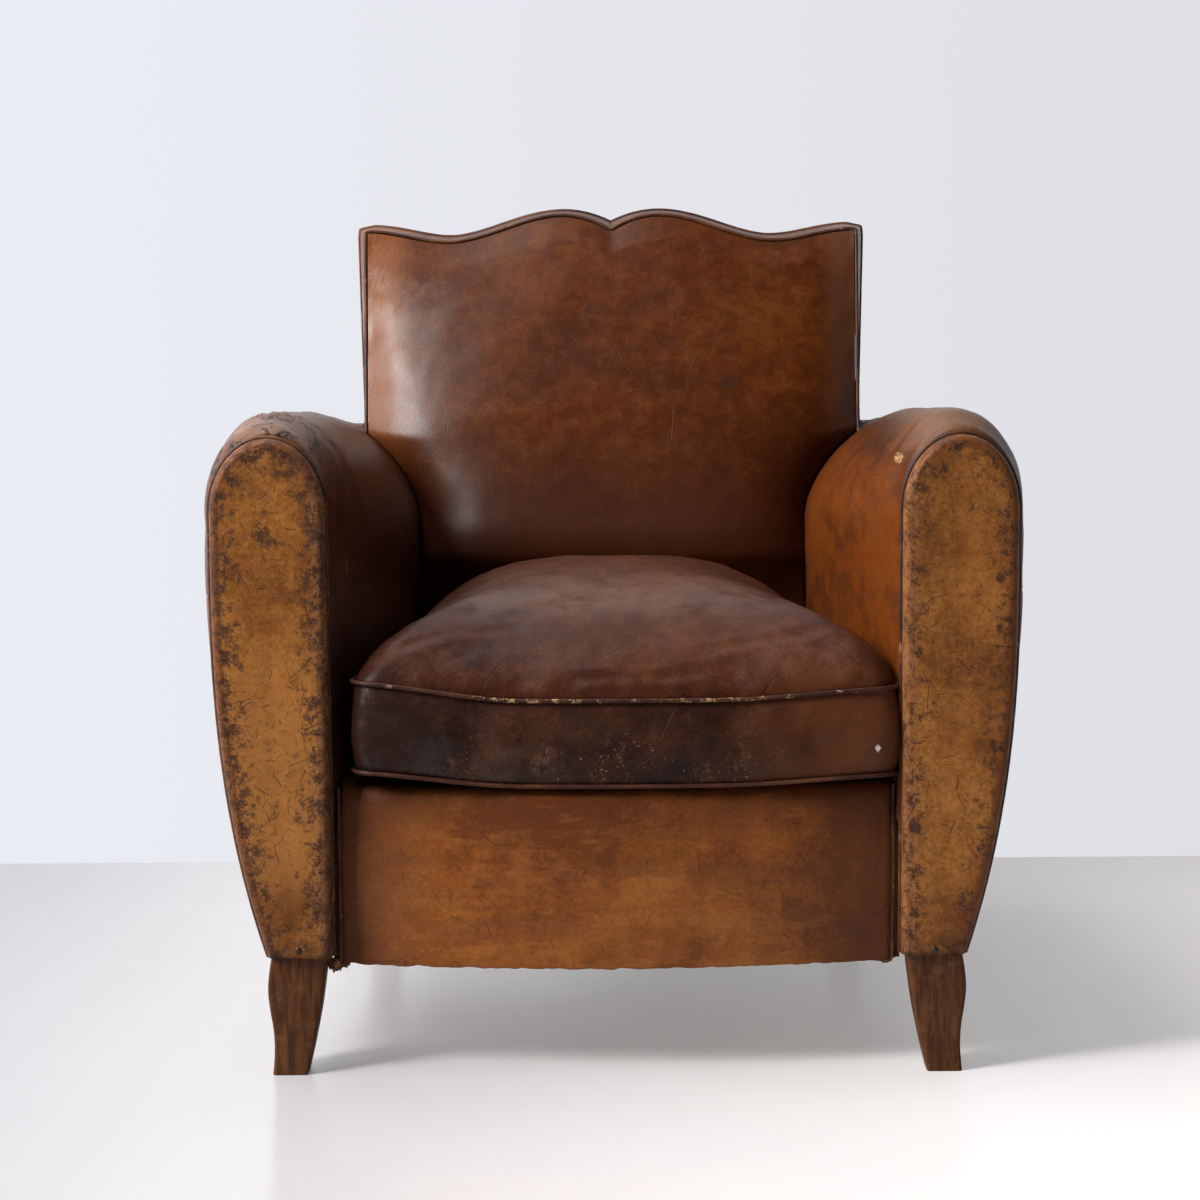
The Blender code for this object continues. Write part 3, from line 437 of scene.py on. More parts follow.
def make_facing(word, side):
    tan = hide(f"facing_hide_{word}", (0.17, 0.056, 0.011), (0.30, 0.108, 0.021), (0.40, 0.158, 0.034),
               patch=9.0, fleck=46.0, shift=2.0 * side)
    material, shader, place, colour, height, tone = tan
    x = place.axis("X") * side
    z = place.axis("Z")
    # How far a place lies from the edge: the outer edge, the inner one, or the arch over both.
    edge = 0.386 - (0.5 - z).most(0.0) ** 2.5 * 0.54
    centre, half = (FACING_INNER + FACING_HALF) / 2, (FACING_HALF - FACING_INNER) / 2
    arch = half - (((x - centre) ** 2 + ((z - FACING_ARCH_SPRING) * half / (FACING_TOP - FACING_ARCH_SPRING)).most(0.0) ** 2) ** 0.5)
    outside_gap = (edge - x).least(arch + 0.001)
    gap = outside_gap.least(x - FACING_INNER)
    fine = place.moved((side, 0, 0)).cloud(150.0, 6.0, 0.8)
    flaked = place.moved((side, 0, 0)).cloud(84.0, 9.0, 0.88)
    region = place.moved((side, 0, 2)).cloud(10.0, 3.0)
    colour = (fine.between(0.54, 0.42) * 0.35).blend(colour, (0.11, 0.040, 0.010, 1))
    colour = (fine.between(0.56, 0.66) * 0.30).blend(colour, (0.50, 0.23, 0.075, 1))
    # Painted light: low on the left facing, between the foot and the arch, the colour is painted lighter and more
    # orange.
    if side < 0:
        colour = ((0.46 - z).between(0.0, 0.14) * (z - 0.155).between(0.0, 0.06) * 0.45).blend(colour, (0.56, 0.235, 0.060, 1))
    # The edges are rolled over the stuffing and keep a redder, darker finish; dirt lies along the roll.
    rolled = (gap + 0.004 * (flaked - 0.5)).between(0.0095, 0.0070)
    colour = (rolled * 0.75).blend(colour, (0.150, 0.046, 0.015, 1) if side < 0 else (0.175, 0.055, 0.016, 1))
    rubbed_edge = (x - FACING_INNER).between(0.014, 0.009) * fine.between(0.42, 0.54)
    colour = (rubbed_edge * 0.6).blend(colour, (0.34, 0.150, 0.060, 1))
    dirt = (gap + 0.012 * (flaked - 0.5)).between(0.020, 0.008) * (gap - 0.0045).between(0.0, 0.002)
    foot = (0.150 - z + 0.06 * (flaked - 0.5)).between(0.0, 0.03)
    share = 0.85 if side < 0 else 0.55
    marks = scratches(place, FRONT, 0.030, 0.0006, share, 3.0 * side)
    marks = marks.most(scratches(place, FRONT, 0.014, 0.0004, share, 7.0 * side))
    marks = marks.most(scratches(place, FRONT, 0.070, 0.0007, 0.7 * share, 1.0 * side))
    marks = marks.most(scratches(place, FRONT, 0.009, 0.0003, 0.8 * share, 5.0 * side)) * region.between(0.35, 0.55)
    # The finish has lifted in flakes, most down the outer edge, and a knock has starred the left facing near its top.
    flakes = flaked.between(0.575, 0.60) * region.between(0.50, 0.64)
    flakes = flakes.most((flaked + (0.10 if side < 0 else 0.07) * outside_gap.between(0.045, 0.010)).between(0.60, 0.625))
    if side < 0:
        star = place.near((-0.3335, Y0, 0.530), (0.026, 0.2, 0.022))
        flakes = flakes.most((place.cloud(90.0, 8.0, 0.85) + 0.17 * star).between(0.62, 0.65) * star.between(0.0, 0.2))
    else:
        for at in ((0.368, 0.485), (0.368, 0.437), (0.364, 0.325)):
            smudge = place.near((at[0], Y0, at[1]), (0.008, 0.2, 0.013))
            flakes = flakes.most((flaked + 0.30 * smudge).between(0.66, 0.72) * smudge.between(0.0, 0.2))
    colour = (dirt * flaked.between(0.49, 0.56) * 0.75).blend(colour, (0.050, 0.018, 0.010, 1))
    colour = (flakes.most(foot * 0.35) * 0.80).blend(colour, (0.052, 0.020, 0.012, 1))
    colour = (marks * 0.85).blend(colour, (0.045, 0.018, 0.010, 1))
    coat(shader, height=height - 0.6 * marks - 0.3 * flakes, depth=0.0005, Base_Color=colour,
         Roughness=0.42 - 0.10 * tone, Specular_IOR_Level=0.18)

    outline = facing_outline(190)
    rings = []
    for depth in (FACING_THICK, FACING_THICK - 0.002, FACING_ROUND):
        rings.append(np.insert(outline, 1, depth, axis=1))
    for angle in np.linspace(0.2, 1.0, 6) * math.pi / 2:
        inset = pushed_out(outline, -FACING_ROUND * 0.62 * (1 - math.cos(angle)))
        rings.append(np.insert(inset, 1, FACING_ROUND * (1 - math.sin(angle)), axis=1))
    edge = pushed_out(outline, -FACING_ROUND * 0.62)
    for share in np.linspace(0, 1, 15)[1:]:
        flat = mix(edge, (edge + edge[::-1]) / 2, share)
        rings.append(np.insert(flat, 1, -0.0006 * math.sin(math.pi * share), axis=1))
    rows = np.array(rings)
    rows[..., 1] -= 0.0006 * rough(rows + side, 34.0) * smooth((np.arange(len(rows)) - 3) / 6)[:, None]
    # The foot is straight: the sheet is cut level there and turned under.
    rows[..., 2] = np.maximum(rows[..., 2], BODY_BOTTOM)
    facing = sheet_of(f"facing_{word}", rows, material, side)
    piece(facing, f"arm_panel_{word}", finish="facing_leather")

    path = np.insert(pushed_out(facing_outline(240), WELT_R + GAP), 1, FACING_THICK - WELT_R, axis=1)
    piece(cord_of(f"facing_piping_{word}", path, WELT_R, cord_hide, side),
          f"arm_panel_welt_{word}", finish="piping")


# Turns of a surface into the XY plane: one that faces the front, one that faces a side, and one that lies flat.
FRONT, SIDE, FLAT = (math.pi / 2, 0, 0), (0, math.pi / 2, 0), (0, 0, 0)
cord_hide, shader, place, colour, height, tone = hide(
    "piping_hide", (0.028, 0.010, 0.006), (0.065, 0.022, 0.009), (0.13, 0.05, 0.018), 12.0, 70.0)
rubbed = place.cloud(46.0, 6.0, 0.8).between(0.58, 0.66)
coat(shader, height=height, depth=0.0005, Base_Color=(rubbed * 0.7).blend(colour, (0.34, 0.17, 0.09, 1)),
     Roughness=0.45, Specular_IOR_Level=0.3)
make_facing("left", -1)
make_facing("right", 1)

# A round-headed nail holds each facing at its inner foot.
nail_iron, shader, place = paint("nail_iron")
coat(shader, Base_Color=place.cloud(300.0, 3.0).blend((0.020, 0.014, 0.010, 1), (0.075, 0.050, 0.030, 1)),
     Metallic=0.6, Roughness=0.45)
for word, side, z in (("left", -1, 0.1246), ("right", 1, 0.1214)):
    rows = []
    for angle in np.linspace(0, 0.96, 9) * math.pi / 2:
        around = np.linspace(0, 2 * math.pi, 25)[:-1]
        wide = 0.0040 * math.cos(angle)
        rows.append(np.stack([0.309 + wide * np.cos(around), np.full(24, -0.0014 - 0.0024 * math.sin(angle)),
                              z + wide * np.sin(around)], axis=1))
    piece(sheet_of(f"facing_nail_{word}", rows, nail_iron, side, thick=0.0006, closed=True, cap=True), finish="leg_wood")

# ---------------------------------------------------------------------------------------------------------------
# Arms: one hide runs from the seat up the inside, over the crown and down the outside to a seam, over stuffing
# on a wooden rail. A second hide closes the lower side, and a small one closes the arm behind, round the back.
# Years of elbows have creased the crowns and taken the colour off them; the crowns' lighter, greyer colour is also a
# painted sheen. The inside of the left arm is painted darkest, as shade, and the inside of the right arm painted a
# brighter orange, as window light.

REAR_HALF = 0.293
REAR_DEPTH = 0.735
ARM_SWELL = 0.0140
ARM_CROWN_RISE = 0.0215
ARM_CROWN_DEPTH = 0.080
ARM_SLOPE = 0.0775
ARM_LIP = 0.090
ARM_DROP = 0.014
ARM_STUFFING = 0.014
ARM_REAR_INNER = 0.2135
ARM_REAR_DEPTH = 0.500
ARM_REAR_SPRING = 0.490
ARM_CROWN_TURN = 0.040
ARM_END_DEPTH = 0.640
ARM_COVER_SEAM = 0.470
ARM_COVER_FOOT = 0.245


def roll(depth):
    """How far the stuffed arm has risen out of the seam at the facing: a soft lip, then full."""
    t = np.clip((depth - FACING_THICK) / ARM_LIP, 0, 1)
    return 0.06 + 0.94 * np.sqrt(1 - (1 - t) ** 2)


def crown_z(depth):
    rise = ARM_CROWN_RISE * roll(depth)
    drop = ARM_DROP * smooth((depth - 0.40) / 0.33)
    return FACING_TOP + rise - drop - ARM_SLOPE * np.maximum(depth - ARM_CROWN_DEPTH, 0)


def inner_x(depth):
    share = np.clip(depth / ARM_REAR_DEPTH, 0, 1)
    return FACING_INNER - (FACING_INNER - ARM_REAR_INNER) * (1 - (1 - share) ** 1.6)


def rear_share(depth):
    return np.clip((depth - FACING_THICK) / (REAR_DEPTH - FACING_THICK), 0, 1) ** 2


def outer_x(depth, z):
    swell = ARM_SWELL * roll(depth) * mix(0.15, 1.0, smooth((z - 0.25) / 0.22))
    return mix(taper_x(z) + swell, REAR_HALF, rear_share(depth))


def shoulder(depth):
    """Power of the arch over the seat: 1 is a true arch, and the stuffing slumps to more than that behind."""
    return mix(1.0, 1.30, smooth((depth - 0.03) / 0.30))


def arm_shape(depth):
    """Crown x, inner x and spring height, outer x and spring height, and crown height at a depth."""
    back = np.minimum(depth / ARM_REAR_DEPTH, 1.0)
    spring_in = mix(FACING_ARCH_SPRING, ARM_REAR_SPRING, back)
    spring_out = mix(FACING_ARCH_SPRING, ARM_REAR_SPRING + 0.03, back)
    crown_x = (FACING_INNER + FACING_HALF) / 2 - ARM_CROWN_TURN * rear_share(depth) ** 1.6
    return crown_x, inner_x(depth), spring_in, outer_x(depth, spring_out), spring_out, crown_z(depth)


def arm_section(depth, count):
    """The arm's cover at a depth, from its inner foot over the crown to the seam outside, as (x, depth, z)."""
    crown_x, x_in, spring_in, x_out, spring_out, top = arm_shape(depth)
    angle = np.linspace(0, math.pi / 2, 24)
    inside = [(x_in, z) for z in np.linspace(ARM_COVER_FOOT, spring_in, 8)[:-1]]
    slump = shoulder(depth)
    up = np.stack([crown_x - (crown_x - x_in) * np.cos(angle) ** slump, spring_in + (top - spring_in) * np.sin(angle) ** slump], 1)
    down = np.stack([crown_x + (x_out - crown_x) * np.sin(angle), spring_out + (top - spring_out) * np.cos(angle)], 1)
    outside = [(outer_x(depth, z), z) for z in np.linspace(spring_out, ARM_COVER_SEAM, 5)[1:]]
    line = even(np.concatenate([inside, up, down[1:], outside]), count)
    return np.insert(line, 1, depth, axis=1)


def crease(rows, ends, width, depth):
    """Height of a soft fold along a line of places: a groove with a low ridge on each side of it."""
    ends = np.array(ends)
    best = np.full(rows.shape[:-1], 1e9)
    along = np.zeros(rows.shape[:-1])
    for n, (a, b) in enumerate(zip(ends, ends[1:])):
        way = b - a
        t = np.clip(((rows - a) @ way) / (way @ way), 0, 1)
        far = np.linalg.norm(rows - a - t[..., None] * way, axis=-1)
        along = np.where(far < best, (n + t) / (len(ends) - 1), along)
        best = np.minimum(best, far)
    fade = smooth(along / 0.2) * smooth((1 - along) / 0.2)
    r = best / width
    return depth * fade * (0.45 * np.exp(-((r - 1.6) / 0.8) ** 2) - np.exp(-(r**2)))


def make_arm(word, side, material):
    depths = np.concatenate([np.linspace(FACING_THICK + GAP, 0.06, 16)[:-1], np.linspace(0.06, ARM_END_DEPTH, 120)])
    rows = np.array([arm_section(depth, 116) for depth in depths])
    # Leather drawn back from the facing lies in shallow folds that run over the crown and die out down the sides.
    height = 0.0014 * rough(rows + side, 7.0, 3) + 0.0007 * rough(rows + side, 28.0, 3)
    high = smooth((rows[..., 2] - 0.50) / 0.08)
    fold = np.sin(rows[..., 1] * 95 + 3.5 * rough(rows * (1, 0.5, 1) + 3 * side, 6.0, 2))
    height += 0.0011 * high * smooth((0.24 - rows[..., 1]) / 0.18) * fold
    for ends, width, depth in ARM_CREASES[word]:
        height += crease(rows, ends, width, depth)
    height *= smooth((rows[..., 1] - FACING_THICK) / 0.018)
    rows = raised(rows, height)
    cover = piece(sheet_of(f"arm_hide_{word}", rows, material, side),
                  f"arm_cover_{word}", finish="arm_leather")
    inside = raised(rows, np.full(rows.shape[:2], -0.0030))[1:-1:3, 1:-1:3]
    piece(sheet_of(f"arm_hair_{word}", inside, hair, side, thick=ARM_STUFFING),
          f"arm_stuffing_{word}", finish="horsehair")

    stations = np.linspace(FACING_THICK + GAP, REAR_DEPTH - LEATHER - 2 * GAP, 110)
    rows = []
    for depth in stations:
        z = np.linspace(ARM_COVER_SEAM - GAP, BODY_BOTTOM, 60)
        rows.append(np.stack([outer_x(depth, z), np.full(60, depth), z], axis=1))
    rows = np.array(rows)
    height = 0.0016 * rough(rows - side, 5.0, 3) * smooth((rows[..., 1] - 0.02) / 0.05)
    height -= 0.0012 * np.exp(-(((rows[..., 2] - ARM_COVER_SEAM) / 0.004) ** 2))
    rows = raised(rows, height)
    piece(sheet_of(f"lower_arm_hide_{word}", rows, material, side),
          f"outside_arm_cover_{word}", finish="arm_leather")

    rows = []
    for depth in np.linspace(ARM_END_DEPTH + GAP, REAR_DEPTH - LEATHER - 2 * GAP, 24):
        section = arm_section(depth, 600)
        beside = 2 * WELT_R + BACK_FLARE * np.clip((depth - 0.563) / 0.175, 0, 1)
        section = section[section[:, 0] > edge_half(section[:, 2]) + beside + 0.001]
        start = [(edge_half(section[0][2]) + beside, depth, section[0][2])]
        rows.append(even(np.concatenate([start, section]), 40))
    rows = np.array(rows)
    rows = raised(rows, 0.0006 * rough(rows, 20.0, 3))
    piece(sheet_of(f"arm_end_hide_{word}", rows, material, side),
          f"arm_end_cover_{word}", finish="arm_leather")


BACK_TOP_HALF = 0.2767
BACK_ARM_HALF = 0.2727
BACK_CORNER = 0.7949
BACK_ARM_Z = 0.600
BACK_FLARE = 0.012


def edge_half(z):
    return mix(BACK_ARM_HALF, BACK_TOP_HALF, np.maximum(z - BACK_ARM_Z, 0) / (BACK_CORNER - BACK_ARM_Z))


hair, shader, place = paint("horsehair_stuffing")
strands = place.scaled(1.0, 1.0, 5.0).cloud(160.0, 6.0, 0.8, 1.5)
coat(shader, height=strands, depth=0.003,
     Base_Color=strands.blend((0.03, 0.022, 0.016, 1), (0.16, 0.12, 0.08, 1)), Roughness=0.95)
ARM_CREASES = {
    "left": [([(0.300, 0.03, 0.61), (0.318, 0.10, 0.64), (0.325, 0.20, 0.63)], 0.0030, 0.0022),
             ([(0.345, 0.02, 0.62), (0.335, 0.07, 0.64), (0.345, 0.15, 0.64)], 0.0030, 0.0018),
             ([(0.283, 0.05, 0.58), (0.287, 0.13, 0.60), (0.278, 0.24, 0.59)], 0.0040, 0.0020),
             ([(0.277, 0.10, 0.52), (0.270, 0.20, 0.545), (0.262, 0.30, 0.53)], 0.0050, 0.0020)],
    "right": [([(0.300, 0.04, 0.61), (0.312, 0.12, 0.64), (0.320, 0.22, 0.63)], 0.0035, 0.0016),
              ([(0.279, 0.03, 0.40), (0.274, 0.09, 0.47), (0.272, 0.12, 0.53)], 0.0050, 0.0022),
              ([(0.279, 0.02, 0.47), (0.276, 0.06, 0.53), (0.280, 0.09, 0.58)], 0.0040, 0.0018),
              ([(0.277, 0.06, 0.34), (0.270, 0.14, 0.40), (0.262, 0.20, 0.46)], 0.0050, 0.0018)],
}
for word, side in (("left", -1), ("right", 1)):
    arm = hide(f"arm_hide_{word}", (0.042, 0.011, 0.004), (0.105, 0.027, 0.005), (0.22, 0.070, 0.013),
               patch=7.0, fleck=38.0, shift=1.5 * side, stretch=(1.0, 0.4, 1.0))
    material, shader, place, colour, height, tone = arm
    x = place.axis("X") * side
    y = place.axis("Y")
    z = place.axis("Z")
    ragged = place.cloud(26.0, 6.0, 0.7) - 0.5
    mottle = place.moved((0, side, 0)).scaled(1.0, 0.35, 0.8).cloud(34.0, 9.0, 0.82)
    colour = (mottle.between(0.52, 0.42) * 0.6).blend(colour, (0.050, 0.016, 0.006, 1))
    # The crown is painted lighter and greyer: partly worn, partly a painted sheen.
    crown = (z + 0.10 * ragged).between(0.585, 0.640) * (0.1 - y).between(-0.35, 0.35)
    inside = (0.31 - x).between(0.0, 0.03) * (z + 0.03 * ragged).between(0.60, 0.56)
    if side < 0:
        # Painted shade: the inside of the left arm, turned away from the window, is painted nearly black.
        colour = (inside * 0.75).blend(colour, (0.044, 0.012, 0.005, 1))
        colour = (crown * 0.55).blend(colour, (0.14, 0.070, 0.038, 1))
        scuffed = place.near((-0.262, Y0 + 0.085, 0.489), (0.010, 0.007, 0.013)) * mottle.between(0.46, 0.52)
        colour = (scuffed * 0.8).blend(colour, (0.32, 0.150, 0.080, 1))
        cuts = scratches(place, FLAT, 0.035, 0.0012, 0.8, 5.0) * (z + 0.05 * ragged).between(0.55, 0.60)
        gouges = place.scaled(1.0, 0.45, 1.0).cloud(85.0, 8.0, 0.8).between(0.53, 0.56)
        cuts = cuts.most(gouges * (z + 0.06 * ragged).between(0.56, 0.60) * (y - Y0).between(0.24, 0.12))
        colour = cuts.blend(colour, (0.010, 0.006, 0.005, 1))
    else:
        # Painted light: the inside of the right arm, which faces the window, is painted a brighter orange.
        colour = (inside * mottle.between(0.30, 0.60) * 0.9).blend(colour, (0.175, 0.040, 0.004, 1))
        scuffed = place.near((0.2775, Y0 + 0.065, 0.595), (0.009, 0.024, 0.008)).between(0.15, 0.5)
        scuffed = scuffed * place.cloud(240.0, 2.0, 0.5).between(0.44, 0.50)
        colour = (scuffed * 0.9).blend(colour, (0.50, 0.28, 0.12, 1))
        colour = (crown * 0.45).blend(colour, (0.20, 0.085, 0.030, 1))
        cuts = scratches(place, SIDE, 0.05, 0.0008, 0.6, 9.0)
        streaks = place.scaled(1.0, 0.35, 0.7).moved((4, 0, 0)).cloud(46.0, 8.0, 0.8).between(0.56, 0.62) * (ragged + 0.5).between(0.42, 0.60)
        colour = (cuts * 0.5).most(streaks * 0.6).blend(colour, (0.045, 0.018, 0.012, 1))
    # Painted shade: the arm darkens towards the back, where it runs in beside the back.
    behind = y.between(-0.05, 0.30)
    colour = (behind * 0.5).blend(colour, (0.06, 0.023, 0.012, 1))
    coat(shader, height=height - 0.7 * cuts, depth=0.0005, Base_Color=colour,
         Roughness=0.38 + 0.12 * crown - 0.10 * tone, Specular_IOR_Level=0.2,
         Coat_Weight=crown * (1 - cuts) * (0.45 if side < 0 else 0.25), Coat_Roughness=0.4)
    make_arm(word, side, material)

# ---------------------------------------------------------------------------------------------------------------
# Back: a padded hide inside, drawn down to its piping along the moustache edge, a border as deep as the back
# is thick, piping again behind it, and a flat hide closing the outside. The hide is crackled where it is
# stretched at the left, and the border's leather has pulled into small tucks at the corners.

BACK_PEAK = 0.8117
BACK_DIP = 0.7826
BACK_NOTCH = 0.0170
BACK_PEAK_X = 0.055
BACK_DIP_X = 0.185
BACK_TOP_DEPTH = 0.655
BACK_SEAT_DEPTH = 0.500
BACK_SEAT_Z = 0.450
BACK_THICK_TOP = 0.085
BACK_COVER_FOOT = 0.290
BACK_BULGE = 0.0455
BACK_BULGE_FROM = 0.360
BACK_TOP_FLARE = 0.0035
BACK_LIFT = 0.0045


def top_z(x):
    x = np.abs(x)
    notch = BACK_PEAK - BACK_NOTCH * (1 - x / BACK_PEAK_X) ** 2
    dip = mix(BACK_PEAK, BACK_DIP, smooth((x - BACK_PEAK_X) / (BACK_DIP_X - BACK_PEAK_X)))
    corner = mix(BACK_DIP, BACK_CORNER, smooth((x - BACK_DIP_X) / (BACK_TOP_HALF - BACK_DIP_X)))
    return BACK_LIFT + np.where(x < BACK_PEAK_X, notch, np.where(x < BACK_DIP_X, dip, corner))


def back_depth(z):
    return mix(BACK_SEAT_DEPTH, BACK_TOP_DEPTH, np.maximum(z - BACK_SEAT_Z, 0) / (BACK_CORNER - BACK_SEAT_Z))


def rear_depth(z):
    return mix(REAR_DEPTH, BACK_TOP_DEPTH + BACK_THICK_TOP, smooth((z - BODY_BOTTOM) / (BACK_CORNER - BODY_BOTTOM)))


def arm_top_at(x, depth):
    crown_x, x_in, spring, _, _, top = arm_shape(depth)
    power = float(shoulder(depth))
    return spring + (top - spring) * (1 - ((crown_x - x) / (crown_x - x_in)) ** (2 / power)) ** (power / 2)


def back_side(z):
    """Half width of the inside back: up to the arms below, out to the piping above them."""
    crown_x, x_in, spring, _, _, top = arm_shape(back_depth(z))
    power = shoulder(back_depth(z))
    rise = np.clip((z - spring) / (top - spring), 0, 1)
    beside_arm = crown_x - (crown_x - x_in) * (1 - rise ** (2 / power)) ** (power / 2)
    return np.minimum(beside_arm - 0.001, edge_half(z) - GAP)


def back_edge(out, flare, foot, count):
    """The moustache edge from the left foot over the top to the right foot, moved out, as (x, z). The border
    flares behind, more at the sides than on top: flare is its share, 0 in front and 1 behind."""
    z = np.linspace(foot, BACK_CORNER + BACK_LIFT, 30)[:-1]
    side = np.stack([edge_half(z), z], axis=1)
    x = np.linspace(BACK_TOP_HALF, 0, 90)
    top = np.stack([x, top_z(x)], axis=1)
    half = np.concatenate([side, top])
    whole = np.concatenate([half * (-1, 1), half[-2::-1]])
    way = np.gradient(whole, axis=0)
    way /= np.linalg.norm(way, axis=1, keepdims=True)
    whole = whole + np.stack([-way[:, 1], way[:, 0]], axis=1) * (out + flare * np.array((BACK_FLARE, BACK_TOP_FLARE)))
    # The outline keeps its sharp corners and its notch when it moves out.
    return even(whole, count)


back_hide, shader, place, colour, height, tone = hide(
    "back_hide", (0.052, 0.0110, 0.001), (0.080, 0.0170, 0.0015), (0.110, 0.0285, 0.003), patch=9.0, fleck=55.0, patchy=0.30)
x = place.axis("X")
z = place.axis("Z")
ragged = place.cloud(18.0, 6.0, 0.7) - 0.5
# Painted shade: the inside back is painted darker towards the bottom, down between the arms and the cushion.
low = (z + 0.08 * ragged).between(0.64, 0.46)
colour = (low * 0.95).blend(colour, (0.045, 0.010, 0.003, 1))
rim = place.cloud(30.0, 5.0, 0.7)
# Painted light: the left edge of the back, turned to the window, is painted a lighter red.
left_painted_light = (x + 0.05 * ragged).between(-0.215, -0.262)
colour = (left_painted_light * 0.6).blend(colour, (0.24, 0.080, 0.024, 1))
smudge = place.near((0.132, 0.20, 0.636), (0.017, 0.4, 0.012)) * rim.between(0.35, 0.55)
colour = (smudge * 0.8).blend(colour, (0.030, 0.014, 0.008, 1))
cuts = scratches(place, FRONT, 0.06, 0.0007, 0.5, 2.0)
colour = (cuts * 0.5).blend(colour, (0.04, 0.016, 0.010, 1))
crackle = place.scaled(1.0, 1.0, 0.7).cells(170.0).between(0.10, 0.0) * (x + 0.1 * ragged).between(-0.14, -0.22)
# The hide has kept its polish where nobody leans: down both sides, most at the left.
polish = (x + 0.05 * ragged).between(-0.15, -0.22) * (z + 0.04 * ragged).between(0.52, 0.62) * (z + 0.1 * ragged).between(0.76, 0.70)
polish = polish.most(0.4 * (x + 0.05 * ragged).between(-0.10, -0.20) * (z + 0.06 * ragged).between(0.76, 0.66))
polish = polish.most(0.5 * x.between(0.235, 0.268))
# Painted sheen: the right edge of the back is painted lighter.
right_painted_sheen = (x + 0.03 * ragged).between(0.225, 0.262)
colour = (right_painted_sheen * 0.6).blend(colour, (0.120, 0.045, 0.022, 1))
coat(shader, height=0.7 * height - 0.4 * cuts - 0.35 * crackle, depth=0.0004, Base_Color=colour,
     Roughness=0.34 + 0.10 * rim + 0.08 * low, Specular_IOR_Level=0.14,
     Coat_Weight=0.75 * polish, Coat_Roughness=0.38)

rows = []
for v in np.sin(math.pi / 2 * np.linspace(0, 1, 120)):
    u = np.sin(math.pi / 2 * np.linspace(-1, 1, 150))
    z = mix(BACK_COVER_FOOT, top_z(u * BACK_TOP_HALF), v)
    # The padding is full below the notch too: only the last few centimetres dive to the piping.
    unnotched = top_z(np.maximum(np.abs(u) * BACK_TOP_HALF, BACK_PEAK_X))
    below = np.clip((unnotched - z) / (unnotched - BACK_COVER_FOOT), 0, 1)
    full = (1 - np.abs(u) ** 5.5) * np.minimum(1.0, 2.6 * below) ** 0.6
    full *= np.minimum(1.0, (top_z(u * BACK_TOP_HALF) - z) / 0.025 + 1e-6) ** 0.5
    low = smooth((z - BACK_BULGE_FROM) / (BACK_SEAT_Z - BACK_BULGE_FROM) / 1.4)
    rows.append(np.stack([u * back_side(z), back_depth(z) - BACK_BULGE * full * low, z], axis=1))
rows = np.array(rows)
inset = smooth((BACK_TOP_HALF - np.abs(rows[..., 0])) / 0.03) * smooth((top_z(rows[..., 0]) - rows[..., 2]) / 0.03)
height = 0.0016 * inset * rough(rows, 5.0, 3) + 0.0004 * inset * rough(rows, 40.0, 2)
# Small pulls run in from the piping at both sides, where the hide was tacked in steps.
edge = np.exp(-((BACK_TOP_HALF - np.abs(rows[..., 0])) / 0.022))
height -= 0.0014 * edge * (0.5 + 0.5 * np.sin(rows[..., 2] * 130 + 2.0 * rough(rows, 9.0, 2))) * smooth((rows[..., 2] - 0.60) / 0.04)
height += crease(rows, [(-0.272, 0.55, 0.757), (-0.245, 0.56, 0.748), (-0.205, 0.55, 0.735)], 0.004, 0.0022)
height += crease(rows, [(-0.272, 0.55, 0.690), (-0.250, 0.56, 0.684), (-0.220, 0.55, 0.676)], 0.004, 0.0018)
height += crease(rows, [(0.272, 0.55, 0.735), (0.250, 0.56, 0.722), (0.230, 0.55, 0.700)], 0.004, 0.0018)
height *= np.minimum(1, (1 - np.abs(rows[..., 0]) / np.abs(rows[:, -1:, 0])) / 0.02)
rows = raised(rows, height)
back_cover = piece(sheet_of("inside_back_hide", rows, back_hide), "inside_back_cover", finish="back_leather")

depth = float(back_depth(BACK_ARM_Z)) + WELT_R
foot = arm_top_at(BACK_ARM_HALF + 2 * WELT_R, depth) - 0.003
path = back_edge(WELT_R, 0.0, foot, 420)
path = np.stack([path[:, 0], back_depth(path[:, 1]) + WELT_R, path[:, 1]], axis=1)
piece(cord_of("back_front_piping", path, WELT_R, cord_hide), "back_front_welt", finish="piping")

front = 2 * WELT_R + GAP
rows = []
for share in np.linspace(0, 1, 26):
    out = WELT_R + BACK_FLARE * share
    foot_depth = mix(float(back_depth(BACK_ARM_Z)) + front, float(rear_depth(BACK_ARM_Z)) - front, share)
    edge = back_edge(WELT_R, share, arm_top_at(BACK_ARM_HALF + out, foot_depth) - 0.004, 330)
    rows.append(np.stack([edge[:, 0], mix(back_depth(edge[:, 1]) + front, rear_depth(edge[:, 1]) - front, share),
                          edge[:, 1]], axis=1))
rows = np.array(rows)
tucks = np.sin(rows[..., 2] * 150 + 3 * rough(rows, 12.0, 2)) * smooth((np.abs(rows[..., 0]) - 0.24) / 0.02)
height = (0.0006 * rough(rows, 16.0, 3) + 0.0005 * tucks) * np.sin(np.linspace(0, math.pi, 26))[:, None]
rows = raised(rows, height)
piece(sheet_of("back_border_hide", rows, back_hide), "back_border", finish="back_leather")

depth = float(rear_depth(BACK_ARM_Z))
foot = arm_top_at(BACK_ARM_HALF + 2 * WELT_R + BACK_FLARE, depth) + 0.0028
path = back_edge(WELT_R, 1.0, foot, 420)
path = np.stack([path[:, 0], rear_depth(path[:, 1]) - WELT_R, path[:, 1]], axis=1)
piece(cord_of("back_rear_piping", path, WELT_R, cord_hide), "back_rear_welt", finish="piping")

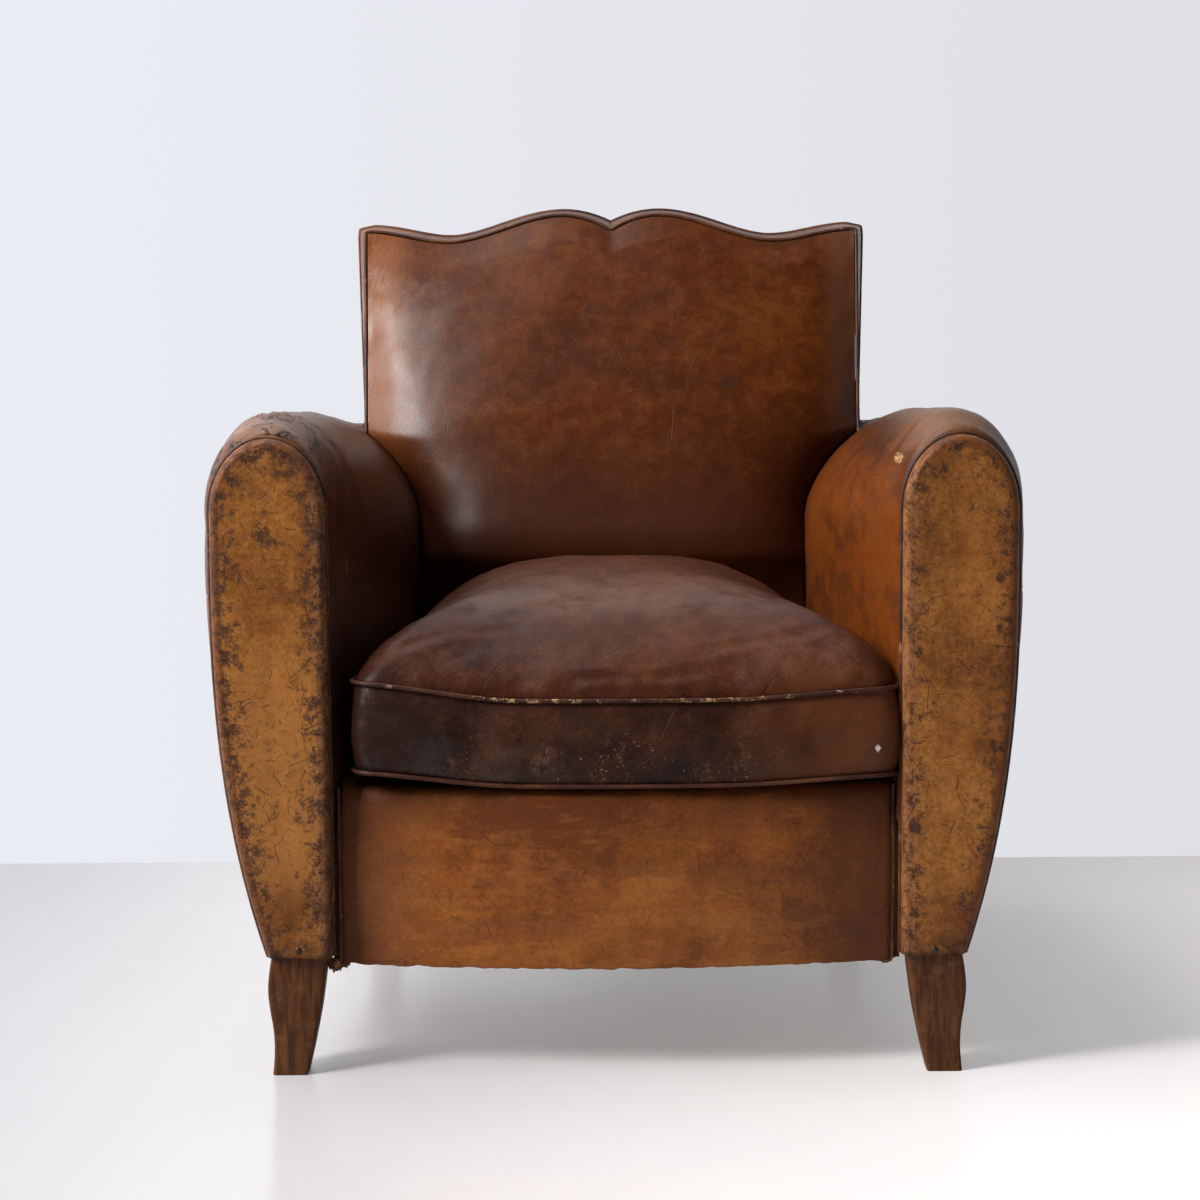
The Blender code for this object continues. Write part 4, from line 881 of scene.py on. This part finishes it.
# ---------------------------------------------------------------------------------------------------------------
# Seat cushion: a feather-filled case of a domed top, a wall and a flat bottom, piped along both seams. It sags
# in the middle, so its front corners ride up, and it has crept a few millimetres to the right.

SEAT_TOP = 0.283
CUSHION_FRONT = -0.004
CUSHION_BOW = 0.024
CUSHION_LENGTH = 0.478
CUSHION_CORNER = 0.026
CUSHION_WALL = 0.087
CUSHION_CROWN = 0.104
CUSHION_CROWN_DEPTH = 0.260
CUSHION_SWELL = 0.006
CUSHION_SIDE = 0.008


def cushion_plan(out, count):
    """The cushion's outline as (x, depth) from the middle of the front round by the right."""
    side = CUSHION_SIDE - out
    front = CUSHION_FRONT + CUSHION_BOW - out
    half = float(inner_x(front + CUSHION_CORNER)) - side
    rear = float(inner_x(CUSHION_FRONT + CUSHION_LENGTH)) - side
    back = CUSHION_FRONT + CUSHION_LENGTH + out
    r = CUSHION_CORNER
    x = np.linspace(0, half - r, 30)
    line = [np.stack([x, front - CUSHION_BOW * (1 - (x / half) ** 2)], axis=1)]
    start = line[0][-1][1]
    angle = np.linspace(0, math.pi / 2, 20)
    line.append(np.stack([half - r + r * np.sin(angle), start + r * (1 - np.cos(angle))], axis=1)[1:])
    depth = np.linspace(start + r, back - r, 40)[1:-1]
    line.append(np.stack([inner_x(depth) - side, depth], axis=1))
    line.append(np.stack([rear - r + r * np.cos(angle), back - r + r * np.sin(angle)], axis=1))
    line.append([(0.0, back)])
    line = np.concatenate(line)
    whole = np.concatenate([line, (line * (-1, 1))[-2::-1]])
    return even(whole, count + 1)[:-1]


def cushion_sag(rows):
    """Moves the cushion as use has: its front corners up and forward, and the whole front to the right."""
    x, y, z = (rows[..., k] for k in range(3))
    front = np.exp(-((np.maximum(y, 0) / 0.16) ** 2))
    corner = smooth((np.abs(x) / 0.27 - 0.35) / 0.65) * front
    top = smooth((z - SEAT_TOP) / CUSHION_WALL)
    left = smooth(0.5 - x / 0.5)
    rise = corner * mix(mix(0.009, 0.014, left), mix(0.010, 0.018, left), top)
    return np.stack([x + 0.010 * front, y - 0.016 * corner, z + rise], axis=-1)


def cushion_hide(name, dark, middle, light, wall):
    material, shader, place, colour, height, tone = hide(name, dark, middle, light, patch=6.5, fleck=52.0, shift=4.0)
    x = place.axis("X")
    y = place.axis("Y")
    z = place.axis("Z")
    ragged = place.cloud(30.0, 6.0, 0.75)
    if wall:
        worn = (x + 0.1 * (ragged - 0.5)).between(0.10, 0.22) * 0.8
        colour = (worn * 0.7).blend(colour, (0.135, 0.040, 0.012, 1))
        low = (0.350 - z + 0.05 * (ragged - 0.5)).between(0.0, 0.03) * x.between(-0.22, -0.15) * x.between(0.20, 0.10)
        rubbed = place.moved((0, 0, 3)).cloud(26.0, 8.0, 0.8)
        colour = (rubbed.between(0.56, 0.62) * low * 0.7).blend(colour, (0.110, 0.046, 0.024, 1))
        flecks = place.cloud(330.0, 3.0, 0.8).between(0.635, 0.665) * rubbed.between(0.47, 0.56) * low
        colour = (flecks * 0.9).blend(colour, (0.42, 0.25, 0.13, 1))
        chip = place.near((0.252, Y0, 0.3215), (0.0055, 0.1, 0.0075))
        chip = (chip + 2.2 * (place.cloud(190.0, 5.0, 0.85) - 0.5)).between(0.50, 0.56) * chip.between(0.0, 0.1)
        colour = chip.blend(colour, (0.72, 0.66, 0.60, 1))
        slash = place.near((-0.028, Y0, 0.322), (0.030, 0.1, 0.016)) * ragged.between(0.40, 0.56)
        colour = (slash * 0.85).blend(colour, (0.014, 0.007, 0.006, 1))
        height = height - 0.8 * slash - 0.5 * flecks
        polish = (x + 0.1 * (ragged - 0.5)).between(0.02, -0.12) * ragged.between(0.42, 0.58) * 0.35
    else:
        flecks = ragged * 0.0
        polish = (y - Y0).between(0.05, 0.12) * (y - Y0).between(0.36, 0.16) * ragged.between(0.30, 0.55) * 0.45
        sheen = (y - Y0).between(0.06, 0.12) * (y - Y0).between(0.42, 0.20)
        colour = (sheen * 0.4 * ragged.between(0.3, 0.7)).blend(colour, (0.120, 0.052, 0.028, 1))
    cuts = scratches(place, FRONT if wall else FLAT, 0.045, 0.0007, 0.5, 6.0)
    colour = (cuts * 0.5).blend(colour, (0.02, 0.010, 0.008, 1))
    coat(shader, height=height - 0.5 * cuts, depth=0.00045, Base_Color=colour,
         Roughness=0.36 + 0.14 * ragged, Specular_IOR_Level=0.14,
         Coat_Weight=polish, Coat_Roughness=0.3)
    return material


cushion_top = cushion_hide("cushion_top_hide", (0.028, 0.0072, 0.0035), (0.062, 0.0165, 0.006), (0.098, 0.030, 0.011), False)
cushion_wall = cushion_hide("cushion_wall_hide", (0.022, 0.008, 0.005), (0.050, 0.017, 0.008), (0.088, 0.030, 0.013), True)
low = SEAT_TOP + GAP
seam = low + CUSHION_WALL
plan = cushion_plan(0.0, 300)
rows = []
for angle in np.linspace(0, math.pi / 2, 64)[:-1]:
    scale = math.cos(angle)
    rise = (1 - scale**2) ** 0.62
    ring = np.stack([plan[:, 0] * scale, mix(CUSHION_CROWN_DEPTH, plan[:, 1], scale)], axis=1)
    rows.append(np.insert(ring, 2, seam + CUSHION_CROWN * rise, axis=1))
rows = np.array(rows)
edge = np.exp(-(rows[..., 2] - seam) / 0.010)
height = (0.0030 * rough(rows, 4.0, 3) + 0.0010 * rough(rows, 26.0, 3)) * (1 - edge)
pucker = rough(rows * (1, 1, 0), 42.0, 2)
height += 0.0022 * pucker * np.exp(-(((rows[..., 2] - seam - 0.012) / 0.013) ** 2))
for ends, width, depth in (([(-0.24, 0.03, 0.40), (-0.17, 0.05, 0.43), (-0.09, 0.06, 0.435)], 0.007, 0.0020),
                           ([(0.05, 0.02, 0.41), (0.13, 0.04, 0.425), (0.20, 0.06, 0.42)], 0.007, 0.0016),
                           ([(-0.06, 0.01, 0.385), (0.00, 0.00, 0.395), (0.08, 0.01, 0.39)], 0.006, 0.0016)):
    height += crease(rows, ends, width, depth)
rows = cushion_sag(raised(rows, height))
top_cover = piece(sheet_of("cushion_top", rows, cushion_top, closed=True, cap=True), "cushion_top_cover", finish="cushion_leather")
rows = []
for share in np.linspace(0, 1, 34):
    out = CUSHION_SWELL * math.sin(math.pi * share) ** 0.8
    z = mix(low + LEATHER + GAP, seam - LEATHER - GAP, share)
    rows.append(np.insert(cushion_plan(out, 300), 2, z, axis=1))
rows = np.array(rows)
height = (0.0030 * rough(rows, 9.0, 3) + 0.0020 * rough(rows, 34.0, 3)) * np.sin(np.linspace(0, math.pi, 34))[:, None]
folds = np.sin(rows[..., 0] * 46 + 4 * rough(rows, 5.0, 2)) * smooth((0.06 - rows[..., 1]) / 0.03)
height += 0.0020 * folds * np.sin(np.linspace(0, math.pi, 34))[:, None]
rows = cushion_sag(raised(rows, height))
wall_cover = piece(sheet_of("cushion_wall", rows, cushion_wall, closed=True), "cushion_boxing", finish="cushion_leather")
rows = np.array([np.insert(mix(np.array((0.0, CUSHION_CROWN_DEPTH)), plan, share), 2, low, axis=1)
                 for share in np.linspace(0.02, 1, 24)])
bottom_cover = piece(sheet_of("cushion_bottom", cushion_sag(rows), cushion_wall, closed=True), "cushion_bottom_cover",
                     "cushion_filling", finish="cushion_leather")
# Both seams are piped; the leather has worn off the top cord in spots where knees pass over it.
seam_hide, shader, place, colour, height, tone = hide(
    "cushion_piping_hide", (0.026, 0.009, 0.006), (0.055, 0.018, 0.009), (0.10, 0.036, 0.016), 12.0, 70.0)
x = place.axis("X")
spots = place.cloud(75.0, 6.0, 0.85)
spots = (spots + 0.05 * x.between(-0.20, -0.12) * x.between(0.20, 0.10)).between(0.575, 0.61)
spots = spots * place.axis("Z").between(0.33, 0.35)
coat(shader, height=height - 0.6 * spots, depth=0.0006, Base_Color=(spots * 0.9).blend(colour, (0.46, 0.27, 0.13, 1)),
     Roughness=0.45, Specular_IOR_Level=0.2)
for word, z in (("top", seam - WELT_R / 2), ("bottom", low + WELT_R)):
    ring = cushion_plan(WELT_R + GAP + 0.0002, 520)
    path = cushion_sag(np.insert(ring, 2, z, axis=1))
    piece(cord_of(f"cushion_{word}_piping", path, WELT_R, seam_hide, closed=True, sides=8),
          f"cushion_{word}_welt", finish="piping")

# ---------------------------------------------------------------------------------------------------------------
# Front rail: one hide over the bowed rail, lapped over its top under the cushion and turned under at the foot,
# between two upright cords. Knees and heels have rubbed its middle tan, its ends are darker, and its top is painted
# darker as the shade under the cushion's edge.

FRONT_RAIL_BOW = 0.033
FRONT_RAIL_DEPTH = 0.030
FRONT_RAIL_FOOT = 0.105
FRONT_COVER_LAP = 0.045

rail_hide, shader, place, colour, height, tone = hide(
    "rail_hide", (0.140, 0.038, 0.008), (0.265, 0.078, 0.013), (0.360, 0.125, 0.024), patch=5.0, fleck=40.0, shift=6.0)
x = place.axis("X")
z = place.axis("Z")
ragged = place.scaled(0.5, 1.0, 1.0).cloud(14.0, 6.0, 0.7) - 0.5
ends = (x.calc("ABSOLUTE", x) + 0.10 * ragged).between(0.17, 0.262)
# Painted shade: the top of the rail, under the cushion's front edge, is painted darker.
top = (z + 0.03 * ragged).between(0.205, 0.280)
colour = (ends * 0.75).blend(colour, (0.085, 0.026, 0.012, 1))
colour = (top * 0.6).blend(colour, (0.095, 0.024, 0.006, 1))
rubs = place.scaled(0.28, 1.0, 1.5).cloud(26.0, 7.0, 0.75)
colour = (rubs.between(0.52, 0.40) * 0.32).blend(colour, (0.130, 0.040, 0.011, 1))
colour = (rubs.between(0.52, 0.64) * 0.28 * (1 - ends)).blend(colour, (0.420, 0.160, 0.036, 1))
cuts = scratches(place, FRONT, 0.032, 0.0005, 0.5, 4.0)
cuts = cuts.most(0.7 * scratches(place, FRONT, 0.075, 0.0006, 0.4, 2.0))
colour = (cuts * 0.7).blend(colour, (0.05, 0.02, 0.010, 1))
coat(shader, height=height - 0.6 * cuts, depth=0.0005, Base_Color=colour,
     Roughness=0.40 + 0.12 * ends, Specular_IOR_Level=0.2)


def rail_front(x):
    return FRONT_RAIL_DEPTH - FRONT_RAIL_BOW * (1 - (x / FACING_INNER) ** 2)


welt_x = FACING_INNER - 3 * (WELT_R + GAP) - 2 * GAP
half = welt_x - WELT_R - GAP
profile = [(0.0, FRONT_RAIL_FOOT), (-0.003, 0.158), (-0.004, 0.212), (-0.001, 0.269), (0.001, 0.275), (0.004, 0.279),
           (0.008, 0.2817), (0.014, SEAT_TOP), (FRONT_COVER_LAP, SEAT_TOP)]
rows = []
for out, z in even(profile, 110):
    x = np.linspace(-1, 1, 190) * (half + 0.010)
    # The ends of the hide turn back behind the upright cords.
    tucked = 0.0065 * smooth((np.abs(x) - half) / 0.004)
    room = 0.010 if z < ARM_COVER_FOOT - 0.002 else float(inner_x(FRONT_RAIL_DEPTH + out)) - 0.0015 - half
    x = np.sign(x) * (np.minimum(np.abs(x), half + min(room, 0)) + np.maximum(np.abs(x) - half, 0) / 0.010 * max(room, 0.0002))
    rows.append(np.stack([x, rail_front(x) + out + tucked, np.full(190, z)], axis=1))
rows = np.array(rows)
height = 0.0014 * rough(rows, 6.0, 3) + 0.0006 * rough(rows, 34.0, 3)
for ends, width, depth in (([(-0.20, 0.01, 0.166), (-0.08, -0.01, 0.160), (0.06, -0.01, 0.163), (0.20, 0.0, 0.158)], 0.004, 0.0012),
                           ([(-0.10, 0.0, 0.215), (-0.02, 0.0, 0.205), (0.05, 0.0, 0.208)], 0.004, 0.0010)):
    height += crease(rows, ends, width, depth)
rows = raised(rows, height)
ragged_foot = 0.0015 * rough(rows * (1, 0, 0), 60.0, 4)
rows[..., 2] += ragged_foot * smooth((0.112 - rows[..., 2]) / 0.006)
piece(sheet_of("front_rail_hide", rows, rail_hide), "front_rail_cover", finish="rail_leather")
# The foot of the hide has torn at its corners: shreds of it and of the hessian behind hang below the rail.
shred_cloth, shader, place = paint("torn_hessian")
weave = place.cells(520.0, random=0.3).between(0.0, 0.4)
coat(shader, height=weave, depth=0.0005,
     Base_Color=place.cloud(120.0, 5.0, 0.7).between(0.4, 0.6).blend((0.10, 0.045, 0.022, 1), (0.30, 0.16, 0.085, 1)), Roughness=0.9)
for word, x0, x1, drop in (("left_1", -0.283, -0.269, 0.0100), ("left_2", -0.272, -0.262, 0.0055), ("right_1", 0.259, 0.270, 0.0040)):
    across, down = np.meshgrid(np.linspace(0, 1, 26), np.linspace(0, 1, 18))
    ragged_end = 1 + 0.45 * rough(np.stack([across * 0.1 + x0, across * 0, across * 0], axis=-1), 120.0, 4)
    x = mix(x0, x1, across + 0.12 * down * (across - 0.5))
    z = FRONT_RAIL_FOOT + 0.004 - (0.004 + drop * ragged_end * (0.55 + 0.45 * np.sin(math.pi * across))) * down
    depth = rail_front(x) + 0.0042 + 0.003 * down**2 + 0.0012 * np.sin(across * 7 + down * 3)
    piece(sheet_of(f"torn_shred_{word}", np.stack([x, depth, z], axis=-1), shred_cloth, thick=0.0007), finish="rail_leather")
thread, shader, place = paint("red_thread")
coat(shader, Base_Color=(0.22, 0.035, 0.020, 1), Roughness=0.8)
for count, x0 in enumerate(np.linspace(-0.252, -0.212, 7)):
    t = np.linspace(0, 1, 14)
    path = np.stack([x0 + 0.0058 * t, rail_front(x0 + 0.0058 * t) - 0.0012 + 0.0003 * np.sin(9 * t + count),
                     FRONT_RAIL_FOOT + 0.0052 - 0.0012 * np.sin(math.pi * t) + 0.0005 * math.sin(3.0 * count)], axis=1)
    piece(cord_of(f"loose_thread_{count + 1}", path, 0.0005, thread, sides=6), finish="piping")
for word, side in (("left", -1), ("right", 1)):
    z = np.linspace(FRONT_RAIL_FOOT + WELT_R, SEAT_TOP - WELT_R, 60)
    path = np.stack([np.full(60, welt_x), np.full(60, float(rail_front(welt_x)) - 0.001), z], axis=1)
    piece(cord_of(f"rail_piping_{word}", path, WELT_R, cord_hide, side), f"rail_welt_{word}", finish="piping")

# ---------------------------------------------------------------------------------------------------------------
# Legs: stained beech. The front ones are sabre legs, swelling under the facing and kicking out at the foot; the
# rear ones rake back. The stain has worn through in patches.

leg_wood, shader, place = paint("stained_leg_wood")
grain = place.scaled(9.0, 9.0, 1.0).cloud(22.0, 6.0, 0.65, 0.6)
scuff = place.cloud(45.0, 5.0, 0.7).between(0.56, 0.70)
colour = grain.between(0.3, 0.7).blend((0.050, 0.017, 0.006, 1), (0.145, 0.052, 0.016, 1))
colour = (scuff * 0.5).blend(colour, (0.20, 0.090, 0.040, 1))
coat(shader, height=grain, depth=0.0004, Base_Color=colour, Roughness=0.46, Specular_IOR_Level=0.2)


def make_leg(name, z, inner, outer, front, back, material, side, corner=0.18):
    """A leg through levels from the top down, each with its inner and outer x and its front and back depth."""
    z = np.array(z)
    levels = np.linspace(z[0], z[-1], 48)
    order = np.argsort(z)
    x0, x1, y0, y1 = (smooth_through(levels, z[order], np.array(v)[order]) for v in (inner, outer, front, back))
    angle = np.linspace(0, 2 * math.pi, 41)[:-1]
    c = np.sign(np.cos(angle)) * np.abs(np.cos(angle)) ** corner
    s = np.sign(np.sin(angle)) * np.abs(np.sin(angle)) ** corner
    rows = np.stack([(x0 + x1)[:, None] / 2 + (x1 - x0)[:, None] / 2 * c, (y0 + y1)[:, None] / 2 + (y1 - y0)[:, None] / 2 * s,
                     np.repeat(levels[:, None], 40, axis=1)], axis=-1)[:, ::-1]
    thing = sheet_of(name, rows, material, side, thick=0, closed=True, cap=True)
    piece(thing, name.replace("_wood", ""), finish="leg_wood")


def smooth_through(at, knots, values):
    """A smooth curve through values at rising knots, read at the given places."""
    slope = np.gradient(values, knots)
    i = np.clip(np.searchsorted(knots, at) - 1, 0, len(knots) - 2)
    step = knots[i + 1] - knots[i]
    t = (at - knots[i]) / step
    return ((1 + 2 * t) * (1 - t) ** 2 * values[i] + t * (1 - t) ** 2 * step * slope[i]
            + t**2 * (3 - 2 * t) * values[i + 1] + t**2 * (t - 1) * step * slope[i + 1])


top = BODY_BOTTOM - GAP
for word, side in (("left", -1), ("right", 1)):
    make_leg(f"front_leg_wood_{word}", (top, 0.105, 0.081, 0.062, 0.045, 0.022, 0.0),
             (0.2825, 0.2832, 0.2860, 0.2888, 0.2920, 0.2968, 0.3020),
             (0.3365, 0.3385, 0.3405, 0.3385, 0.3358, 0.3348, 0.3366),
             (0.004, 0.004, 0.003, 0.003, 0.002, 0.001, 0.000),
             (0.049, 0.048, 0.046, 0.044, 0.042, 0.040, 0.039), leg_wood, side)
    fall = np.linspace(0, 1, 6)
    rear = REAR_DEPTH - 0.010 + 0.030 * fall**1.6 - 0.006 * fall
    make_leg(f"rear_leg_wood_{word}", top * (1 - fall), 0.272 - 0.018 * (1 - 0.15 * fall), 0.272 + 0.018 * (1 - 0.15 * fall),
             rear - 0.044 + 0.012 * fall, rear, leg_wood, side)

# ---------------------------------------------------------------------------------------------------------------
# Outside back: one flat hide tacked along its edges behind, from the rear piping down to the seat frame.

outside_hide, shader, place, colour, height, tone = hide(
    "outside_back_hide", (0.055, 0.020, 0.010), (0.115, 0.042, 0.018), (0.180, 0.070, 0.028), patch=5.0, fleck=36.0, shift=8.0)
cuts = scratches(place, FRONT, 0.06, 0.0008, 0.5, 8.0)
coat(shader, height=height - 0.5 * cuts, depth=0.00045,
     Base_Color=(cuts * 0.5).blend(colour, (0.03, 0.014, 0.010, 1)), Roughness=0.5)
arm_top = arm_top_at(BACK_ARM_HALF + 2 * WELT_R + BACK_FLARE, float(rear_depth(BACK_ARM_Z))) + 0.0028 - WELT_R
rows = []
for share in np.linspace(0, 1, 130):
    x = np.linspace(-1, 1, 120) * BACK_TOP_HALF
    top_edge = top_z(x) + BACK_TOP_FLARE - WELT_R
    z = BODY_BOTTOM + (top_edge - BODY_BOTTOM) * share
    wide = np.where(z < arm_top, REAR_HALF - LEATHER, edge_half(z) + BACK_FLARE - 7 * GAP)
    rows.append(np.stack([-x / BACK_TOP_HALF * wide, rear_depth(z) + GAP, z], axis=1))
rows = np.array(rows)
rows = raised(rows, 0.0018 * rough(rows, 4.0, 3) * smooth((0.28 - np.abs(rows[..., 0])) / 0.03))
piece(sheet_of("outside_back_hide", rows, outside_hide), "outside_back_cover", finish="back_leather")

# ---------------------------------------------------------------------------------------------------------------
# Inner structure, as the frame has it: beech rails and posts, jute webbing, steel springs, hessian, horsehair
# stuffing, the deck cloth that the cushion lies on and the dust cloth tacked under the seat.

beech, shader, place = paint("raw_beech")
grain = place.scaled(1.0, 8.0, 8.0).cloud(30.0, 5.0, 0.6)
coat(shader, height=grain, depth=0.0005, Base_Color=grain.blend((0.36, 0.22, 0.11, 1), (0.52, 0.36, 0.20, 1)), Roughness=0.7)
jute, shader, place = paint("jute_cloth")
weave = place.cells(420.0, random=0.25).between(0.0, 0.4)
coat(shader, height=weave, depth=0.0006,
     Base_Color=place.cloud(14.0).blend((0.20, 0.15, 0.09, 1), (0.38, 0.30, 0.19, 1)), Roughness=0.95)
steel, shader, place = paint("spring_steel")
rust = place.cloud(90.0, 5.0, 0.7).between(0.45, 0.62)
coat(shader, height=rust, depth=0.0003, Base_Color=rust.blend((0.42, 0.41, 0.40, 1), (0.20, 0.09, 0.045, 1)),
     Metallic=1.0 - 0.8 * rust, Roughness=0.35 + 0.45 * rust)
for name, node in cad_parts.items():
    for word, material in (("rail", beech), ("post", beech), ("stump", beech), ("board", beech), ("webbing", jute),
                           ("hessian", jute), ("cloth", jute), ("stuffing", hair), ("spring", steel)):
        if word in name and not name.startswith(("front_rail_cover", "rail_welt")):
            for slot in node.material_slots:
                slot.material = material
